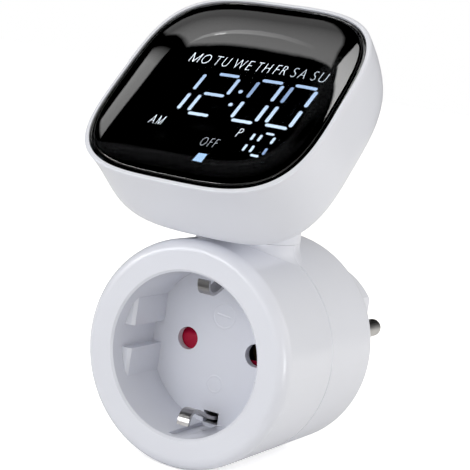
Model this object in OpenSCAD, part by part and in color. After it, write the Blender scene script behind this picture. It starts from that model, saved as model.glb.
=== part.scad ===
// Plug-in timer switch: a round earthed adapter with a socket in front and a plug behind,
// and a lit display head that turns on a neck on top of it.
// +Z is up and +Y points into the wall outlet. The origin is the centre of the collar face
// that seats on the outlet, on the plug's axis. Depths are counted from the front ring.

/* [Body] */
// Thickness of the round body around the socket recess
body_skirt = 7.6; // [7.4:0.1:9]
// Length of the body from its front ring to its rear face
body_l = 48; // [47.5:0.5:54]
// Wall thickness of the body shells
wall = 2.2; // [1.8:0.1:2.4]
// Rounding of the front ring's outer edge
ring_round = 2.8; // [1.5:0.1:3.2]
// Rounding of the rear edge
rear_round = 2.5; // [1:0.1:3]
// Chamfer on each shell at the parting line
seam_chamfer = 0.3; // [0.1:0.1:0.5]
// Width of the collar that seats on the outlet, around the plug's nose
collar_w = 3.2; // [2.4:0.1:3.6]
// Thickness of the collar
collar_t = 5.5; // [2:0.5:7]
// Distance of the four housing screws from the body's outside
screw_inset = 4.8; // [4.6:0.1:5]
// Diameter of the housing screws' shanks
screw_d = 3; // [2.5:0.1:3.2]
// Diameter of the housing screws' heads
screw_head_d = 5; // [4.6:0.1:5.2]
// Height of the housing screws' heads
screw_head_h = 2; // [1.6:0.1:2.4]
// Depth of the counterbores over the screw heads
screw_sink = 3.4; // [3:0.1:3.8]

/* [Socket] */
// Diameter of the socket recess
cup_d = 38.8; // [38.6:0.1:39]
// Depth of the socket recess
cup_depth = 18.3; // [17.8:0.1:18.4]
// Wall thickness around the recess
cup_wall = 1.6; // [1.4:0.1:1.7]
// Thickness of the recess floor
floor_t = 2; // [1.6:0.1:2]
// Diameter of the contact holes
hole_d = 5.6; // [5.4:0.1:5.8]
// Distance between the two contact holes, and between the two plug pins
pin_pitch = 19; // [18.6:0.1:19.4]
// How far the guide blocks stand in from the recess's wall
block_h = 2.6; // [2.3:0.1:2.8]
// Width of the groove between two guide blocks
groove_w = 5.6; // [5.3:0.1:6]
// Width of a guide block
block_w = 6.8; // [6:0.1:7]
// Setback of the guide blocks from the front ring
block_setback = 4.4; // [3:0.1:6]
// Chamfer on the guide blocks' front ends
block_chamfer = 0.7; // [0.3:0.1:1.2]

/* [Earthing] */
// Width of the earth clips in the recess
clip_w = 3.1; // [2.8:0.1:3.6]
// Width of the earth strips on the plug
strip_w = 4.4; // [4:0.1:4.8]
// Thickness of the earthing metal
strip_t = 0.8; // [0.6:0.05:0.9]
// How far the clips' contact points stand in from the recess's wall
clip_h = 5.5; // [5.2:0.1:5.8]
// Distance of the clip's contact point from the front ring
clip_at = 8.4; // [8:0.1:9]
// How far the straight strips lie inside the recess's radius
strip_inset = 1.8; // [1.7:0.05:1.9]
// Height of the strips' bow over the plug's nose
strip_bow = 0.5; // [0.3:0.1:0.7]
// Play around the strips in their slots
strip_play = 0.2; // [0.15:0.05:0.3]

/* [Shutter] */
// Thickness of the shutter
shutter_t = 3; // [2.6:0.1:3]
// Reach of the shutter's wings
wing_r = 13.4; // [13:0.1:13.6]
// Half the angle that one wing covers
wing_a = 20; // [19:0.5:21]
// Depth of the ramps that the plug pins push on
ramp_depth = 1.4; // [1:0.1:1.8]
// Diameter of the shutter's hub
hub_d = 9; // [8.4:0.2:10]
// Diameter of the post that the shutter turns on
post_d = 4; // [3.5:0.1:4.2]
// Play of the shutter on its post
post_play = 0.05; // [0.02:0.01:0.1]
// Wire diameter of the return spring
spring_wire = 0.5; // [0.4:0.05:0.55]
// Turns of the return spring
spring_turns = 3; // [2:1:3]

/* [Plug] */
// Play of the plug's nose in a recess like the one in front
nose_play = 1.1; // [1:0.1:1.2]
// Length of the plug's nose
nose_l = 16.8; // [16.4:0.1:17.5]
// Rounding of the nose's end
nose_round = 1.2; // [0.6:0.1:1.4]
// Depth of the flats on the nose's two sides
nose_flat = 3.9; // [3.4:0.1:4]
// Height of the ribs on the side flats
nose_rib_h = 1; // [0.8:0.1:1.5]
// Width of the ribs on the side flats
nose_rib_w = 5; // [4.6:0.1:5.2]
// Wall thickness of the nose
nose_wall = 2; // [1.6:0.1:2.2]
// Thickness of the nose's end wall
nose_end_t = 3; // [2.4:0.1:4]
// Diameter of the plug pins
pin_d = 4.8; // [4.7:0.05:4.9]
// Length of the plug pins in front of the nose
pin_l = 19; // [18.8:0.1:19.2]
// Extra radius of the pins' roots in the nose's end wall
pin_root = 0.2; // [0.2:0.05:0.3]
// Diameter of the pins' shoulders inside the nose
pin_shoulder_d = 5.8; // [5.6:0.1:6]
// Diameter of the pins' solder tails
pin_tail_d = 2.4; // [2:0.1:3]

/* [Neck] */
// Diameter of the neck
neck_d = 25; // [24.5:0.5:25.5]
// Width of the neck where it runs into the head
neck_top_d = 24; // [22:0.5:25]
// Height of the neck's turning joint over the body's top
joint_rise = 0.5; // [0.4:0.1:1]
// Gap between the neck and the body
joint_gap = 0.3; // [0.2:0.05:0.4]
// Diameter of the spigot that the head turns on
spigot_d = 14; // [13.6:0.2:14.4]
// Play of the spigot in its bearing
spigot_play = 0.06; // [0.03:0.01:0.1]
// Diameter of the flange that holds the spigot in the body
flange_d = 18.4; // [18:0.2:18.8]
// Thickness of the flange
flange_t = 1; // [0.9:0.05:1.1]
// Thickness of the friction washer under the flange
washer_t = 0.4; // [0.3:0.05:0.4]
// Bore for the control cable
neck_bore_d = 6.6; // [6:0.1:6.8]
// Turn of the head to each side, between its stops
turn_limit = 90; // [60:5:95]

/* [Head] */
// Lean of the display from upright
head_lean = 45; // [43:1:48]
// Distance of the lens centre in front of the neck's axis
head_ahead = 21.3; // [21:0.1:22]
// Height of the lens centre over the plug's axis
head_z = 62; // [62:0.5:64]
// Width of the lens
lens_w = 56.2; // [54:0.2:57]
// Height of the lens
lens_h = 57.9; // [56:0.2:58.4]
// Width of the rim around the lens
rim_w = 1.2; // [1:0.1:1.4]
// Wall thickness of the head shell
head_wall = 2; // [1.7:0.1:2.2]
// Depth of the head shell
head_depth = 31.1; // [30.5:0.1:31.5]
// Squareness of the head's outline, 2 being an ellipse
head_square = 3.57; // [3:0.01:4.2]
// How late the shell turns in towards its base
head_turn = 5.8; // [5:0.1:7]
// Thickness of the lens at its edge
lens_edge = 1.8; // [1.4:0.1:2.2]
// Height of the lens's dome over its edge
lens_dome = 2.2; // [1:0.1:3]
// Gap around the lens
lens_gap = 0.2; // [0.1:0.05:0.3]

/* [Display] */
// Distance of the display module from the display board's edges
module_inset = 2; // [1.5:0.5:4]
// Distance of the display module below the upper board screws
module_room = 5; // [4:0.5:8]
// Thickness of the display module
module_t = 5; // [4:0.5:6]
// Distance of the display board's edges inside the lens's edges
board_inset = 4.1; // [3.9:0.1:4.5]
// Corner radius of the display board
board_round = 10; // [9.5:0.5:12]
// Thickness of the circuit boards
board_t = 1.6; // [1:0.1:1.6]
// Distance of the display board's screws from its edges
board_screw_inset = 6; // [5.5:0.5:6.5]
// Side length of the controller chip
chip_w = 9; // [7:0.5:10]
// Diameter of the backup battery
battery_d = 12; // [10:0.5:12.5]
// Thickness of the backup battery
battery_t = 5.2; // [3:0.2:5.4]
// Distance of the backup battery from the display board's side
battery_side = 7; // [6.5:0.5:8]
// Distance of the backup battery from the display board's lower edge
battery_end = 9; // [8.5:0.5:10]

/* [Buttons] */
// Diameter of the buttons
button_d = 6.4; // [6:0.1:6.8]
// Distance between two buttons
button_pitch = 11; // [10.4:0.2:11.4]
// Height of the buttons over the shell
button_proud = 0.9; // [0.8:0.1:1.2]
// Travel of the buttons
button_travel = 0.6; // [0.4:0.1:0.6]
// Distance of the buttons behind the lens
button_behind = 11.4; // [11:0.1:11.8]
// Gap around the buttons
button_gap = 0.3; // [0.25:0.05:0.4]
// Diameter of the buttons' retaining flanges
button_flange_d = 8.4; // [8:0.1:8.6]

/* [Inside] */
// Thickness of the contact carrier
carrier_t = 2; // [1.8:0.1:2]
// Gap between the contact carrier and the earth strips
carrier_gap = 0.6; // [0.5:0.1:0.8]
// Outside diameter of the socket contacts
sleeve_d = 7.2; // [7:0.1:7.4]
// Play of a plug pin in a socket contact
sleeve_play = 0.1; // [0.05:0.05:0.15]
// Space between the power board and the rear wall
power_gap = 5.4; // [5.2:0.1:5.6]
// Distance of the power board's screws from the body's outside
power_screw_inset = 7.5; // [7.3:0.1:7.8]
// Width of the relay
relay_w = 18.4; // [14:0.2:19]
// Height of the relay
relay_h = 10.2; // [8:0.2:10.4]
// Space between the relay and the contact carrier
relay_gap = 2.7; // [2:0.1:4]
// Width of the film capacitor
film_w = 18; // [12:0.5:18.5]
// Height of the film capacitor
film_h = 8.4; // [6:0.2:8.6]
// Space between the film capacitor and the contact carrier
film_gap = 4; // [2.5:0.1:6]
// Diameter of the fuse
fuse_d = 8.2; // [7:0.2:8.4]
// Length of the fuse
fuse_l = 7.6; // [6:0.2:9]
// Diameter of the smoothing capacitor
smooth_d = 8; // [6:0.5:8]
// Length of the smoothing capacitor
smooth_l = 11.5; // [9:0.5:12]
// Diameter of the control cable
cable_d = 3.2; // [2.4:0.2:3.2]

/* [Hidden] */
$fn = 96;
small_fn = 40;
eps = 0.01;
big = 200;
seat_gap = 0.3;
cup_r = cup_d / 2;
cup_out_r = cup_r + cup_wall;
body_r = cup_r + body_skirt;
body_d = 2 * body_r;
block_x = cup_r - block_h;
clip_reach = cup_r - clip_h;
strip_z = cup_r - strip_inset;
nose_r = cup_r - nose_play;
nose_in_r = nose_r - 2.3;
nose_flat_x = nose_r - nose_flat;
nose_rib_x = nose_flat_x + nose_rib_h;
nose_half = nose_flat_x - nose_wall;
collar_d = 2 * (nose_r + collar_w);
neck_r = neck_d / 2;
seam_d = body_l / 2;
front_y = -(body_l + collar_t);
seam_y = front_y + seam_d;
rear_inside = body_l - wall;
nose_end = body_l + collar_t + nose_l;
contact_x = pin_pitch / 2;
screw_angles = [40, 140, 220, 320];
screw_ring_r = body_r - screw_inset;
boss_r = 2.6;
boss_from = 10;
screw_from = boss_from + 2;
screw_l = body_l - screw_sink - screw_from - 2.6;
floor_back = cup_depth + floor_t;
shutter_at = floor_back + seat_gap;
spring_at = shutter_at + shutter_t + 0.2;
spring_pitch = spring_wire + 0.06;
carrier_at = spring_at + spring_turns * spring_pitch + spring_wire + 0.05;
carrier_r = strip_z - strip_t / 2 - carrier_gap;
power_at = rear_inside - power_gap;
power_r = body_r - wall - 1.3;
power_screw_x = body_r - power_screw_inset;
sleeve_l = power_at - carrier_at - carrier_t;
pad_top = body_r + joint_rise - joint_gap;
joint_z = body_r + joint_rise;
pad_low = body_r - 5.2;
pocket_top = pad_top - 2;
flange_top = pocket_top - 0.1;
flange_low = flange_top - flange_t;
washer_low = flange_low - 0.1 - washer_t;
pocket_r = flange_d / 2 + 0.3;
stop_r = flange_d / 2 - 1.2;
stop_half = 8;
cable_r = cable_d / 2;
cable_z = pad_low - cable_r - 0.3;
cable_split = flange_low + 0.3;
head_a = lens_w / 2 + rim_w;
head_b = lens_h / 2 + rim_w;
tilt = 90 - head_lean;
module_back = lens_edge + 0.7 + module_t;
board_back = module_back + board_t;
board_w = min(lens_w, lens_h) - 2 * board_inset;
board_screw_at = board_w / 2 - board_screw_inset;
module_w = board_w - 2 * module_inset;
module_top = board_screw_at - module_room;
module_h = module_top + module_w / 2;
board_screw_room = 2.3;
board_post_r = 2.4;
board_post_from = head_depth - 4.1;
switch_from = board_screw_at + board_post_r + 0.3;
axis_meet = head_ahead / sin(tilt);
axis_meet_z = head_z - head_ahead / tan(tilt);
neck_floor = 3.5;
cable_bend = 4;
sleeve_skin = 0.15;
sleeve_grip = 0.4;
post_angles = [120, 300];
post_ring = 14.2;

// Which piece to build; "all" builds the whole timer switch

// ---- Shared shapes ----

// A round bar along the plug's axis between two depths
module y_bar(x, z, from, to, r) {
    translate([x, front_y + from, z])
        rotate([-90, 0, 0])
            cylinder(h = to - from, r = r);
}

// A block between two depths, centred on x and z
module y_block(x, z, from, to, w, h) {
    translate([x - w / 2, front_y + from, z - h / 2])
        cube([w, to - from, h]);
}

// A solid of revolution round the plug's axis, from a profile of radius against depth
module y_turned() {
    translate([0, front_y, 0])
        rotate([-90, 0, 0])
            rotate_extrude()
                children();
}

// Repeats a piece at the given angles on a ring round the plug's axis
module on_ring(r, angles) {
    for (a = angles)
        translate([r * cos(a), 0, r * sin(a)])
            children();
}

// Everything in front of the parting line, or behind it
module half_space(front) {
    translate([-big / 2, front ? seam_y - big : seam_y, -big / 2])
        cube([big, big, big]);
}

// A countersunk-free pan screw whose head lies on a seat at depth d and whose tip points forward
module pan_screw(d, shank_r, shank_l, head_r, head_h) {
    y_bar(0, 0, d - shank_l, d + eps, shank_r);
    difference() {
        y_bar(0, 0, d, d + head_h, head_r);
        for (a = [0, 90])
            translate([0, front_y + d + head_h, 0])
                rotate([0, a, 0])
                    cube([head_r * 1.3, head_h, head_r * 0.3], center = true);
    }
}

// Points of a bend between two ends, pulled towards the middle point
function bend(a, b, c, n) =
    [for (i = [0 : n]) let (t = i / n) (1 - t) * (1 - t) * a + 2 * t * (1 - t) * b + t * t * c];

function unit(v) = v / norm(v);

function side(p, i) =
    let (v = unit(p[min(i + 1, len(p) - 1)] - p[max(i - 1, 0)])) [-v[1], v[0]];

// Outline of a strip of even thickness along a path
function strip(p, t) = concat(
    [for (i = [0 : len(p) - 1]) p[i] + side(p, i) * t / 2],
    [for (i = [len(p) - 1 : -1 : 0]) p[i] - side(p, i) * t / 2]);

// A bent sheet strip standing on the middle plane, from a path of depth against height
module bent_strip(p, w) {
    translate([-w / 2, front_y, 0])
        rotate([90, 0, 90])
            linear_extrude(w)
                polygon(strip(p, strip_t));
}

// ---- Body ----

module neck_base() {
    translate([0, seam_y, 0])
        rotate_extrude()
            union() {
                translate([0, pad_low])
                    square([neck_r, pad_top - pad_low]);
                difference() {
                    translate([neck_r - eps, pad_low])
                        square([2.3, pad_top - 0.4 - pad_low]);
                    translate([neck_r + 5, pad_top - 0.4])
                        circle(5);
                }
            }
}

// The bearing, the flange pocket and the cable's way through the neck
module neck_hollow() {
    translate([0, seam_y, 0]) {
        translate([0, 0, pocket_top - eps])
            cylinder(h = 10, r = spigot_d / 2 + spigot_play);
        translate([0, 0, washer_low])
            cylinder(h = pocket_top - washer_low, r = pocket_r);
        translate([0, 0, pad_low - 5])
            cylinder(h = 10, r = neck_bore_d / 2);
    }
}

module front_profile() {
    difference() {
        union() {
            square([body_r - ring_round, seam_d]);
            translate([0, ring_round])
                square([body_r, seam_d - ring_round]);
            translate([body_r - ring_round, ring_round])
                circle(ring_round);
        }
        translate([-1, -1])
            square([cup_r + 1, cup_depth + 1]);
        polygon([[cup_r - 1, -1], [cup_r + 1.5, -1], [cup_r - 1, 1.5]]);
        translate([cup_out_r, wall])
            square([body_r - wall - cup_out_r, seam_d]);
        translate([-1, floor_back])
            square([body_r - wall + 1, seam_d]);
        translate([body_r, seam_d])
            rotate([0, 0, 45])
                square(seam_chamfer * 1.414, center = true);
    }
}

module guide_blocks() {
    for (sx = [-1, 1])
        for (sz = [-1, 1])
            intersection() {
                y_bar(0, 0, 0, floor_back, cup_r + 0.5);
                difference() {
                    y_block(sx * (block_x + 2.5), sz * (groove_w + block_w) / 2,
                        block_setback, cup_depth + 0.5, 5, block_w);
                    translate([sx * block_x, front_y + block_setback, 0])
                        rotate([0, 0, 45])
                            cube([block_chamfer * 1.414, block_chamfer * 1.414, big], center = true);
                }
            }
}

module front_housing() {
    color([0.93, 0.94, 0.96]) {
        difference() {
            union() {
                difference() {
                    union() {
                        y_turned()
                            front_profile();
                        intersection() {
                            neck_base();
                            half_space(true);
                        }
                        y_block(0, (cup_out_r + pad_low) / 2, wall, floor_back, 3, 3);
                        on_ring(screw_ring_r, screw_angles)
                            y_bar(0, 0, boss_from, seam_d, boss_r);
                    }
                    y_bar(0, 0, -1, cup_depth, cup_r);
                    neck_hollow();
                    on_ring(screw_ring_r, screw_angles)
                        y_bar(0, 0, screw_from, seam_d + 1, screw_d / 2);
                    for (sx = [-1, 1])
                        y_bar(sx * contact_x, 0, cup_depth - 1, floor_back + 1, hole_d / 2);
                    for (sz = [-1, 1]) {
                        y_block(0, sz * (strip_z + 0.1), cup_depth - 1, floor_back + 1,
                            clip_w + 1, 3);
                        y_block(0, sz * cup_r, 2.4, cup_depth, clip_w + 1, 1.4);
                    }
                }
                guide_blocks();
                y_bar(0, 0, floor_back - eps, carrier_at + carrier_t, post_d / 2);
                on_ring(post_ring, post_angles)
                    y_bar(0, 0, floor_back - eps, carrier_at, 2.2);
                intersection() {
                    y_turned()
                        translate([body_r - wall - 1.1, seam_d - 2])
                            square([1, 3.5]);
                    union() {
                        y_block(0, 0, 0, body_l, big, 18);
                        y_block(0, -body_r, 0, body_l, 18, body_d);
                    }
                }
                difference() {
                    y_turned()
                        translate([body_r - wall - 1.1, seam_d - 2])
                            square([1.1 + eps, 2]);
                    y_block(0, body_r, 0, body_l, neck_d + 6, body_d);
                    on_ring(screw_ring_r, screw_angles)
                        y_bar(0, 0, 0, body_l, boss_r - eps);
                }
            }
            on_ring(post_ring, post_angles)
                y_bar(0, 0, floor_back + 0.6, carrier_at + 1, 0.9);
        }
    }
}

module rear_profile() {
    difference() {
        union() {
            translate([0, seam_d])
                square([body_r, body_l - rear_round - seam_d]);
            translate([0, seam_d])
                square([body_r - rear_round, body_l - seam_d]);
            translate([body_r - rear_round, body_l - rear_round])
                circle(rear_round);
            translate([0, body_l - eps])
                square([collar_d / 2, collar_t + eps]);
            translate([0, body_l])
                square([nose_r, nose_end - nose_round - body_l]);
            translate([0, body_l])
                square([nose_r - nose_round, nose_end - body_l]);
            translate([nose_r - nose_round, nose_end - nose_round])
                circle(nose_round);
        }
        translate([-1, seam_d - 1])
            square([body_r - wall + 1, rear_inside - seam_d + 1]);
        translate([body_r, seam_d])
            rotate([0, 0, 45])
                square(seam_chamfer * 1.414, center = true);
        translate([collar_d / 2, body_l + collar_t])
            rotate([0, 0, 45])
                square(0.8, center = true);
    }
}

module nose_cavity() {
    intersection() {
        y_bar(0, 0, rear_inside - 1, nose_end - nose_end_t, nose_in_r);
        y_block(0, 0, rear_inside - 1, nose_end, 2 * nose_half, 2 * nose_in_r - 2);
    }
}

module rear_housing() {
    nose_from = body_l + collar_t;
    color([0.92, 0.93, 0.95])
        difference() {
            union() {
                y_turned()
                    rear_profile();
                intersection() {
                    neck_base();
                    half_space(false);
                }
                translate([-1.5, seam_y + pocket_r - 0.4, pad_low])
                    cube([3, power_at - 4 - seam_d - pocket_r, body_r - wall - pad_low + 0.5]);
                on_ring(screw_ring_r, screw_angles) {
                    y_bar(0, 0, seam_d, rear_inside + eps, boss_r);
                    y_bar(0, 0, body_l - screw_sink - 1.4, rear_inside + eps, 3.9);
                }
                for (sx = [-1, 1])
                    y_bar(sx * power_screw_x, 0, power_at + board_t, rear_inside + eps, 2.4);
            }
            difference() {
                neck_hollow();
                translate([0, seam_y, washer_low - 1])
                    intersection() {
                        difference() {
                            cylinder(h = pocket_top - washer_low + 1, r = pocket_r + 1);
                            cylinder(h = 20, r = stop_r + 0.3);
                        }
                        linear_extrude(20)
                            polygon([[0, 0], [-big * sin(stop_half), big * cos(stop_half)],
                                [big * sin(stop_half), big * cos(stop_half)]]);
                    }
            }
            nose_cavity();
            on_ring(screw_ring_r, screw_angles) {
                y_bar(0, 0, seam_d - 1, body_l + 1, screw_d / 2 + 0.2);
                y_bar(0, 0, body_l - screw_sink, nose_from + 1, screw_head_d / 2 + 0.2);
            }
            for (sx = [-1, 1]) {
                y_bar(sx * contact_x, 0, body_l, nose_end + 1, pin_d / 2 + pin_root);
                y_bar(sx * contact_x, 0, nose_end - nose_end_t - 1.6, nose_end - nose_end_t,
                    pin_shoulder_d / 2 + 0.2);
                y_bar(sx * power_screw_x, 0, power_at, rear_inside - 0.4, 0.9);
                for (sz = [-1, 1])
                    y_block(sx * (nose_flat_x + 5), sz * (nose_rib_w + 20) / 2, nose_from,
                        nose_end + 1, 10, 20);
                y_block(sx * (nose_rib_x + 5), 0, nose_from, nose_end + 1, 10, nose_rib_w + 1);
            }
            for (sz = [-1, 1]) {
                y_block(0, sz * strip_z, rear_inside - 1, nose_from + 1,
                    strip_w + 2 * strip_play, strip_t + 2 * strip_play + 0.4);
                y_block(0, sz * (strip_z + 4 - strip_t / 2 - strip_play - 0.5), nose_from,
                    nose_end - 0.9, strip_w + 2 * strip_play, 8);
            }
        }
}

module housing_screws() {
    color([0.55, 0.56, 0.58])
        on_ring(screw_ring_r, screw_angles)
            pan_screw(body_l - screw_sink, screw_d / 2, screw_l, screw_head_d / 2, screw_head_h);
}

// ---- Contacts and shutter ----

module contact_carrier() {
    color([0.2, 0.2, 0.22])
        difference() {
            y_bar(0, 0, carrier_at, carrier_at + carrier_t, carrier_r);
            y_bar(0, 0, carrier_at - 1, carrier_at + carrier_t + 1, post_d / 2 + 0.1);
            for (sx = [-1, 1])
                y_bar(sx * contact_x, 0, carrier_at - 1, carrier_at + carrier_t + 1,
                    sleeve_d / 2);
            on_ring(post_ring, post_angles)
                y_bar(0, 0, carrier_at - 1, carrier_at + carrier_t + 1, 1.1);
        }
}

module carrier_screws() {
    color([0.6, 0.6, 0.62])
        on_ring(post_ring, post_angles)
            pan_screw(carrier_at + carrier_t, 0.9, 6, 1.8, 1.2);
}

// A split sleeve with a lip that holds it in the carrier
module socket_contact(sx) {
    bore_r = pin_d / 2 + sleeve_play;
    end = carrier_at + carrier_t + sleeve_l;
    color([0.8, 0.66, 0.32])
        difference() {
            union() {
                y_bar(sx * contact_x, 0, carrier_at - 0.8, carrier_at, sleeve_d / 2 + 0.7);
                y_bar(sx * contact_x, 0, carrier_at - eps, end, sleeve_d / 2);
            }
            y_bar(sx * contact_x, 0, carrier_at - 2, end - 1, bore_r);
            y_block(sx * contact_x, 0, carrier_at + carrier_t + 0.5, end - 2.5, big / 10, 0.8);
            y_block(sx * contact_x, 0, carrier_at + carrier_t + 0.5, end - 2.5, 0.8, big / 10);
        }
}

module shutter_wing() {
    far = 1.2 * wing_r;
    linear_extrude(shutter_t)
        intersection() {
            circle(wing_r);
            polygon([[0, 0], [far * cos(wing_a), far * sin(wing_a)], [far, 0],
                [far * cos(wing_a), -far * sin(wing_a)]]);
        }
}

module shutter() {
    color([0.62, 0.08, 0.2])
        translate([0, front_y + shutter_at, 0])
            rotate([-90, 0, 0])
                difference() {
                    union() {
                        cylinder(h = shutter_t, r = hub_d / 2);
                        for (a = [0, 180])
                            rotate([0, 0, a])
                                shutter_wing();
                    }
                    translate([0, 0, -1])
                        cylinder(h = shutter_t + 2, r = post_d / 2 + post_play);
                    for (a = [0, 180])
                        rotate([0, 0, a])
                            translate([contact_x - 3.4, 0, 0])
                                rotate([atan(ramp_depth / 4.4), 0, 0])
                                    translate([0, 0, -5])
                                        cube([6.8, 9, 5]);
                    translate([3.7, 0, shutter_t - 1])
                        cylinder(h = 2, r = 0.4);
                }
}

// A coil of round wire with one end in the shutter and one on the carrier
module shutter_spring() {
    coil_r = 3.2;
    steps = 20 * spring_turns;
    path = concat(
        [[coil_r + 0.5, 0, -1.1], [coil_r + 0.5, 0, 0]],
        [for (i = [0 : steps]) let (a = i * 18) [coil_r * cos(a), coil_r * sin(a), i * spring_pitch / 20]],
        [[coil_r, -2.5, spring_turns * spring_pitch], [coil_r, -5.5, spring_turns * spring_pitch]]);
    color([0.7, 0.71, 0.73])
        translate([0, front_y + spring_at + spring_wire / 2, 0])
            rotate([-90, 0, 0])
                wire(path, spring_wire / 2);
}

// Round wire along a path
module wire(p, r) {
    n = 8;
    m = len(p);
    function along(i) = unit(p[min(i + 1, m - 1)] - p[max(i - 1, 0)]);
    function across(i) = let (v = along(i)) unit(cross(v, abs(v[2]) > 0.8 ? [0, 1, 0] : [0, 0, 1]));
    points = [for (i = [0 : m - 1]) for (j = [0 : n - 1])
        let (u = across(i), w = cross(along(i), u), a = 360 * j / n)
            p[i] + r * (u * cos(a) + w * sin(a))];
    faces = concat(
        [[for (j = [0 : n - 1]) j]],
        [for (i = [0 : m - 2]) for (j = [0 : n - 1])
            [i * n + j, (i + 1) * n + j, (i + 1) * n + (j + 1) % n, i * n + (j + 1) % n]],
        [[for (j = [n - 1 : -1 : 0]) (m - 1) * n + j]]);
    polyhedron(points, faces);
}

// ---- Earthing ----

// Path of an earth strip from its clip in the recess to its end on the nose
function clip_path() = concat(
    bend([clip_at - 3.1, clip_reach + 3.6], [clip_at - 2.8, clip_reach - 1.1],
        [clip_at + 2, clip_reach + 0.9], 10),
    bend([clip_at + 4, clip_reach + 1.7], [cup_depth - 2, strip_z], [floor_back, strip_z], 5),
    [[rear_inside, strip_z]]);

function nose_path() = let (n = body_l + collar_t) concat(
    [[rear_inside - 3, strip_z]],
    [[n, strip_z]],
    bend([n + 1, strip_z], [n + nose_l / 2, strip_z + 2 * strip_bow],
        [n + nose_l - 1.6, strip_z - 0.2], 8));

module earth_strip(sz) {
    color([0.78, 0.79, 0.8])
        mirror([0, 0, sz < 0 ? 1 : 0]) {
            bent_strip(clip_path(), clip_w);
            bent_strip(nose_path(), strip_w);
        }
}

module earth_link() {
    at = power_at + board_t + 0.8;
    inner = strip_z - strip_t / 2;
    color([0.75, 0.76, 0.78]) {
        y_block(0, 0, at, at + strip_t, 3.6, 2 * inner);
        for (sz = [-1, 1])
            y_block(0, sz * (inner - strip_t / 2), at, at + 2.6, 3.6, strip_t);
    }
}

module plug_pin(sx) {
    inner = nose_end - nose_end_t;
    tip_r = pin_d / 2;
    color([0.8, 0.8, 0.82]) {
        y_bar(sx * contact_x, 0, nose_end - 1, nose_end + pin_l - tip_r, tip_r);
        y_bar(sx * contact_x, 0, inner - eps, nose_end, tip_r + pin_root);
        translate([sx * contact_x, front_y + nose_end + pin_l - tip_r, 0])
            sphere(r = tip_r);
        y_bar(sx * contact_x, 0, inner - 1.4, inner, pin_shoulder_d / 2);
        y_bar(sx * contact_x, 0, power_at, inner - 1.3, pin_tail_d / 2);
    }
}

// ---- Power electronics ----

module power_board() {
    color([0.12, 0.36, 0.2])
        difference() {
            y_bar(0, 0, power_at, power_at + board_t, power_r);
            on_ring(screw_ring_r, screw_angles)
                y_bar(0, 0, power_at - 1, power_at + 3, boss_r + 0.4);
            for (sz = [-1, 1])
                y_block(0, sz * strip_z, power_at - 1, power_at + 3, strip_w + 0.8, 2.4);
            for (sx = [-1, 1]) {
                y_bar(sx * contact_x, 0, power_at - 1, power_at + 3, pin_tail_d / 2 + 0.05);
                y_bar(sx * power_screw_x, 0, power_at - 1, power_at + 3, 1.1);
            }
        }
}

module power_board_screws() {
    color([0.6, 0.6, 0.62])
        for (sx = [-1, 1])
            translate([sx * power_screw_x, 0, 0])
                mirror([0, 1, 0])
                    translate([0, -2 * (front_y + power_at), 0])
                        pan_screw(power_at, 0.9, 4.2, 1.9, 1.2);
}

module relay() {
    d = carrier_at + carrier_t + relay_gap;
    color([0.16, 0.3, 0.62])
        difference() {
            y_block(0, -4.9 - relay_h / 2, d, power_at, relay_w, relay_h);
            for (sx = [-1, 1])
                translate([sx * relay_w / 2, front_y + d, 0])
                    rotate([0, 0, 45])
                        cube([1, 1, big], center = true);
        }
}

module film_capacitor() {
    color([0.85, 0.68, 0.12])
        y_block(0, 4.9 + film_h / 2, carrier_at + carrier_t + film_gap, power_at, film_w, film_h);
}

// Place of a round part of the given radius that stands in the nose
function in_nose(r) = (nose_in_r - 0.5 - r) * [cos(48), sin(48)];

module smoothing_capacitor() {
    from = power_at + board_t;
    at = in_nose(smooth_d / 2);
    color([0.1, 0.12, 0.2])
        difference() {
            translate([at[0], 0, at[1]])
                y_turned()
                    difference() {
                        translate([0, from])
                            square([smooth_d / 2, smooth_l]);
                        translate([smooth_d / 2, from + 1.8])
                            circle(0.5);
                    }
            for (w = [0.4, smooth_d * 0.7])
                y_block(at[0], at[1], from + smooth_l - 0.2, from + smooth_l + 1, w,
                    smooth_d * 0.7 + 0.4 - w);
        }
}

module fuse() {
    from = power_at + board_t;
    at = -in_nose(fuse_d / 2);
    color([0.28, 0.16, 0.1])
        y_bar(at[0], at[1], from, from + fuse_l, fuse_d / 2);
}

// ---- Cable ----

module cable_lower() {
    bend_r = cable_r + 0.3;
    end = power_at - 4;
    color([0.18, 0.18, 0.2]) {
        translate([0, seam_y, cable_z + bend_r - sleeve_grip])
            cylinder(h = cable_split - 0.3 - cable_z - bend_r + sleeve_grip, r = cable_r);
        translate([0, seam_y + bend_r, cable_z + bend_r])
            rotate([90, 0, 90])
                rotate([0, 0, 180])
                    rotate_extrude(angle = 90)
                        translate([bend_r, 0])
                            circle(cable_r + sleeve_skin);
        y_bar(0, cable_z, seam_d + bend_r - sleeve_grip, end + 1, cable_r);
        y_block(0, cable_z + 0.05, end, power_at, 7, 3.3);
    }
}

module cable_upper() {
    elbow_z = axis_meet_z - cable_bend * tan(tilt / 2);
    reach = axis_meet - cable_bend * tan(tilt / 2);
    color([0.18, 0.18, 0.2]) {
        translate([0, seam_y, cable_split])
            cylinder(h = elbow_z - cable_split + sleeve_grip, r = cable_r);
        translate([0, seam_y - cable_bend, elbow_z])
            rotate([90, 0, 90])
                rotate_extrude(angle = tilt)
                    translate([cable_bend, 0])
                        circle(cable_r + sleeve_skin);
        head_place() {
            translate([0, 0, -reach - sleeve_grip])
                cylinder(h = reach - board_back - 3, r = cable_r);
            translate([-5, -2.5, -board_back - 4])
                cube([10, 5, 4]);
        }
    }
}

// ---- Neck ----

module friction_washer() {
    color([0.9, 0.88, 0.82])
        translate([0, seam_y, washer_low])
            difference() {
                cylinder(h = washer_t, r = stop_r - 0.2);
                translate([0, 0, -1])
                    cylinder(h = 3, r = neck_bore_d / 2 + 1);
            }
}

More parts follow.
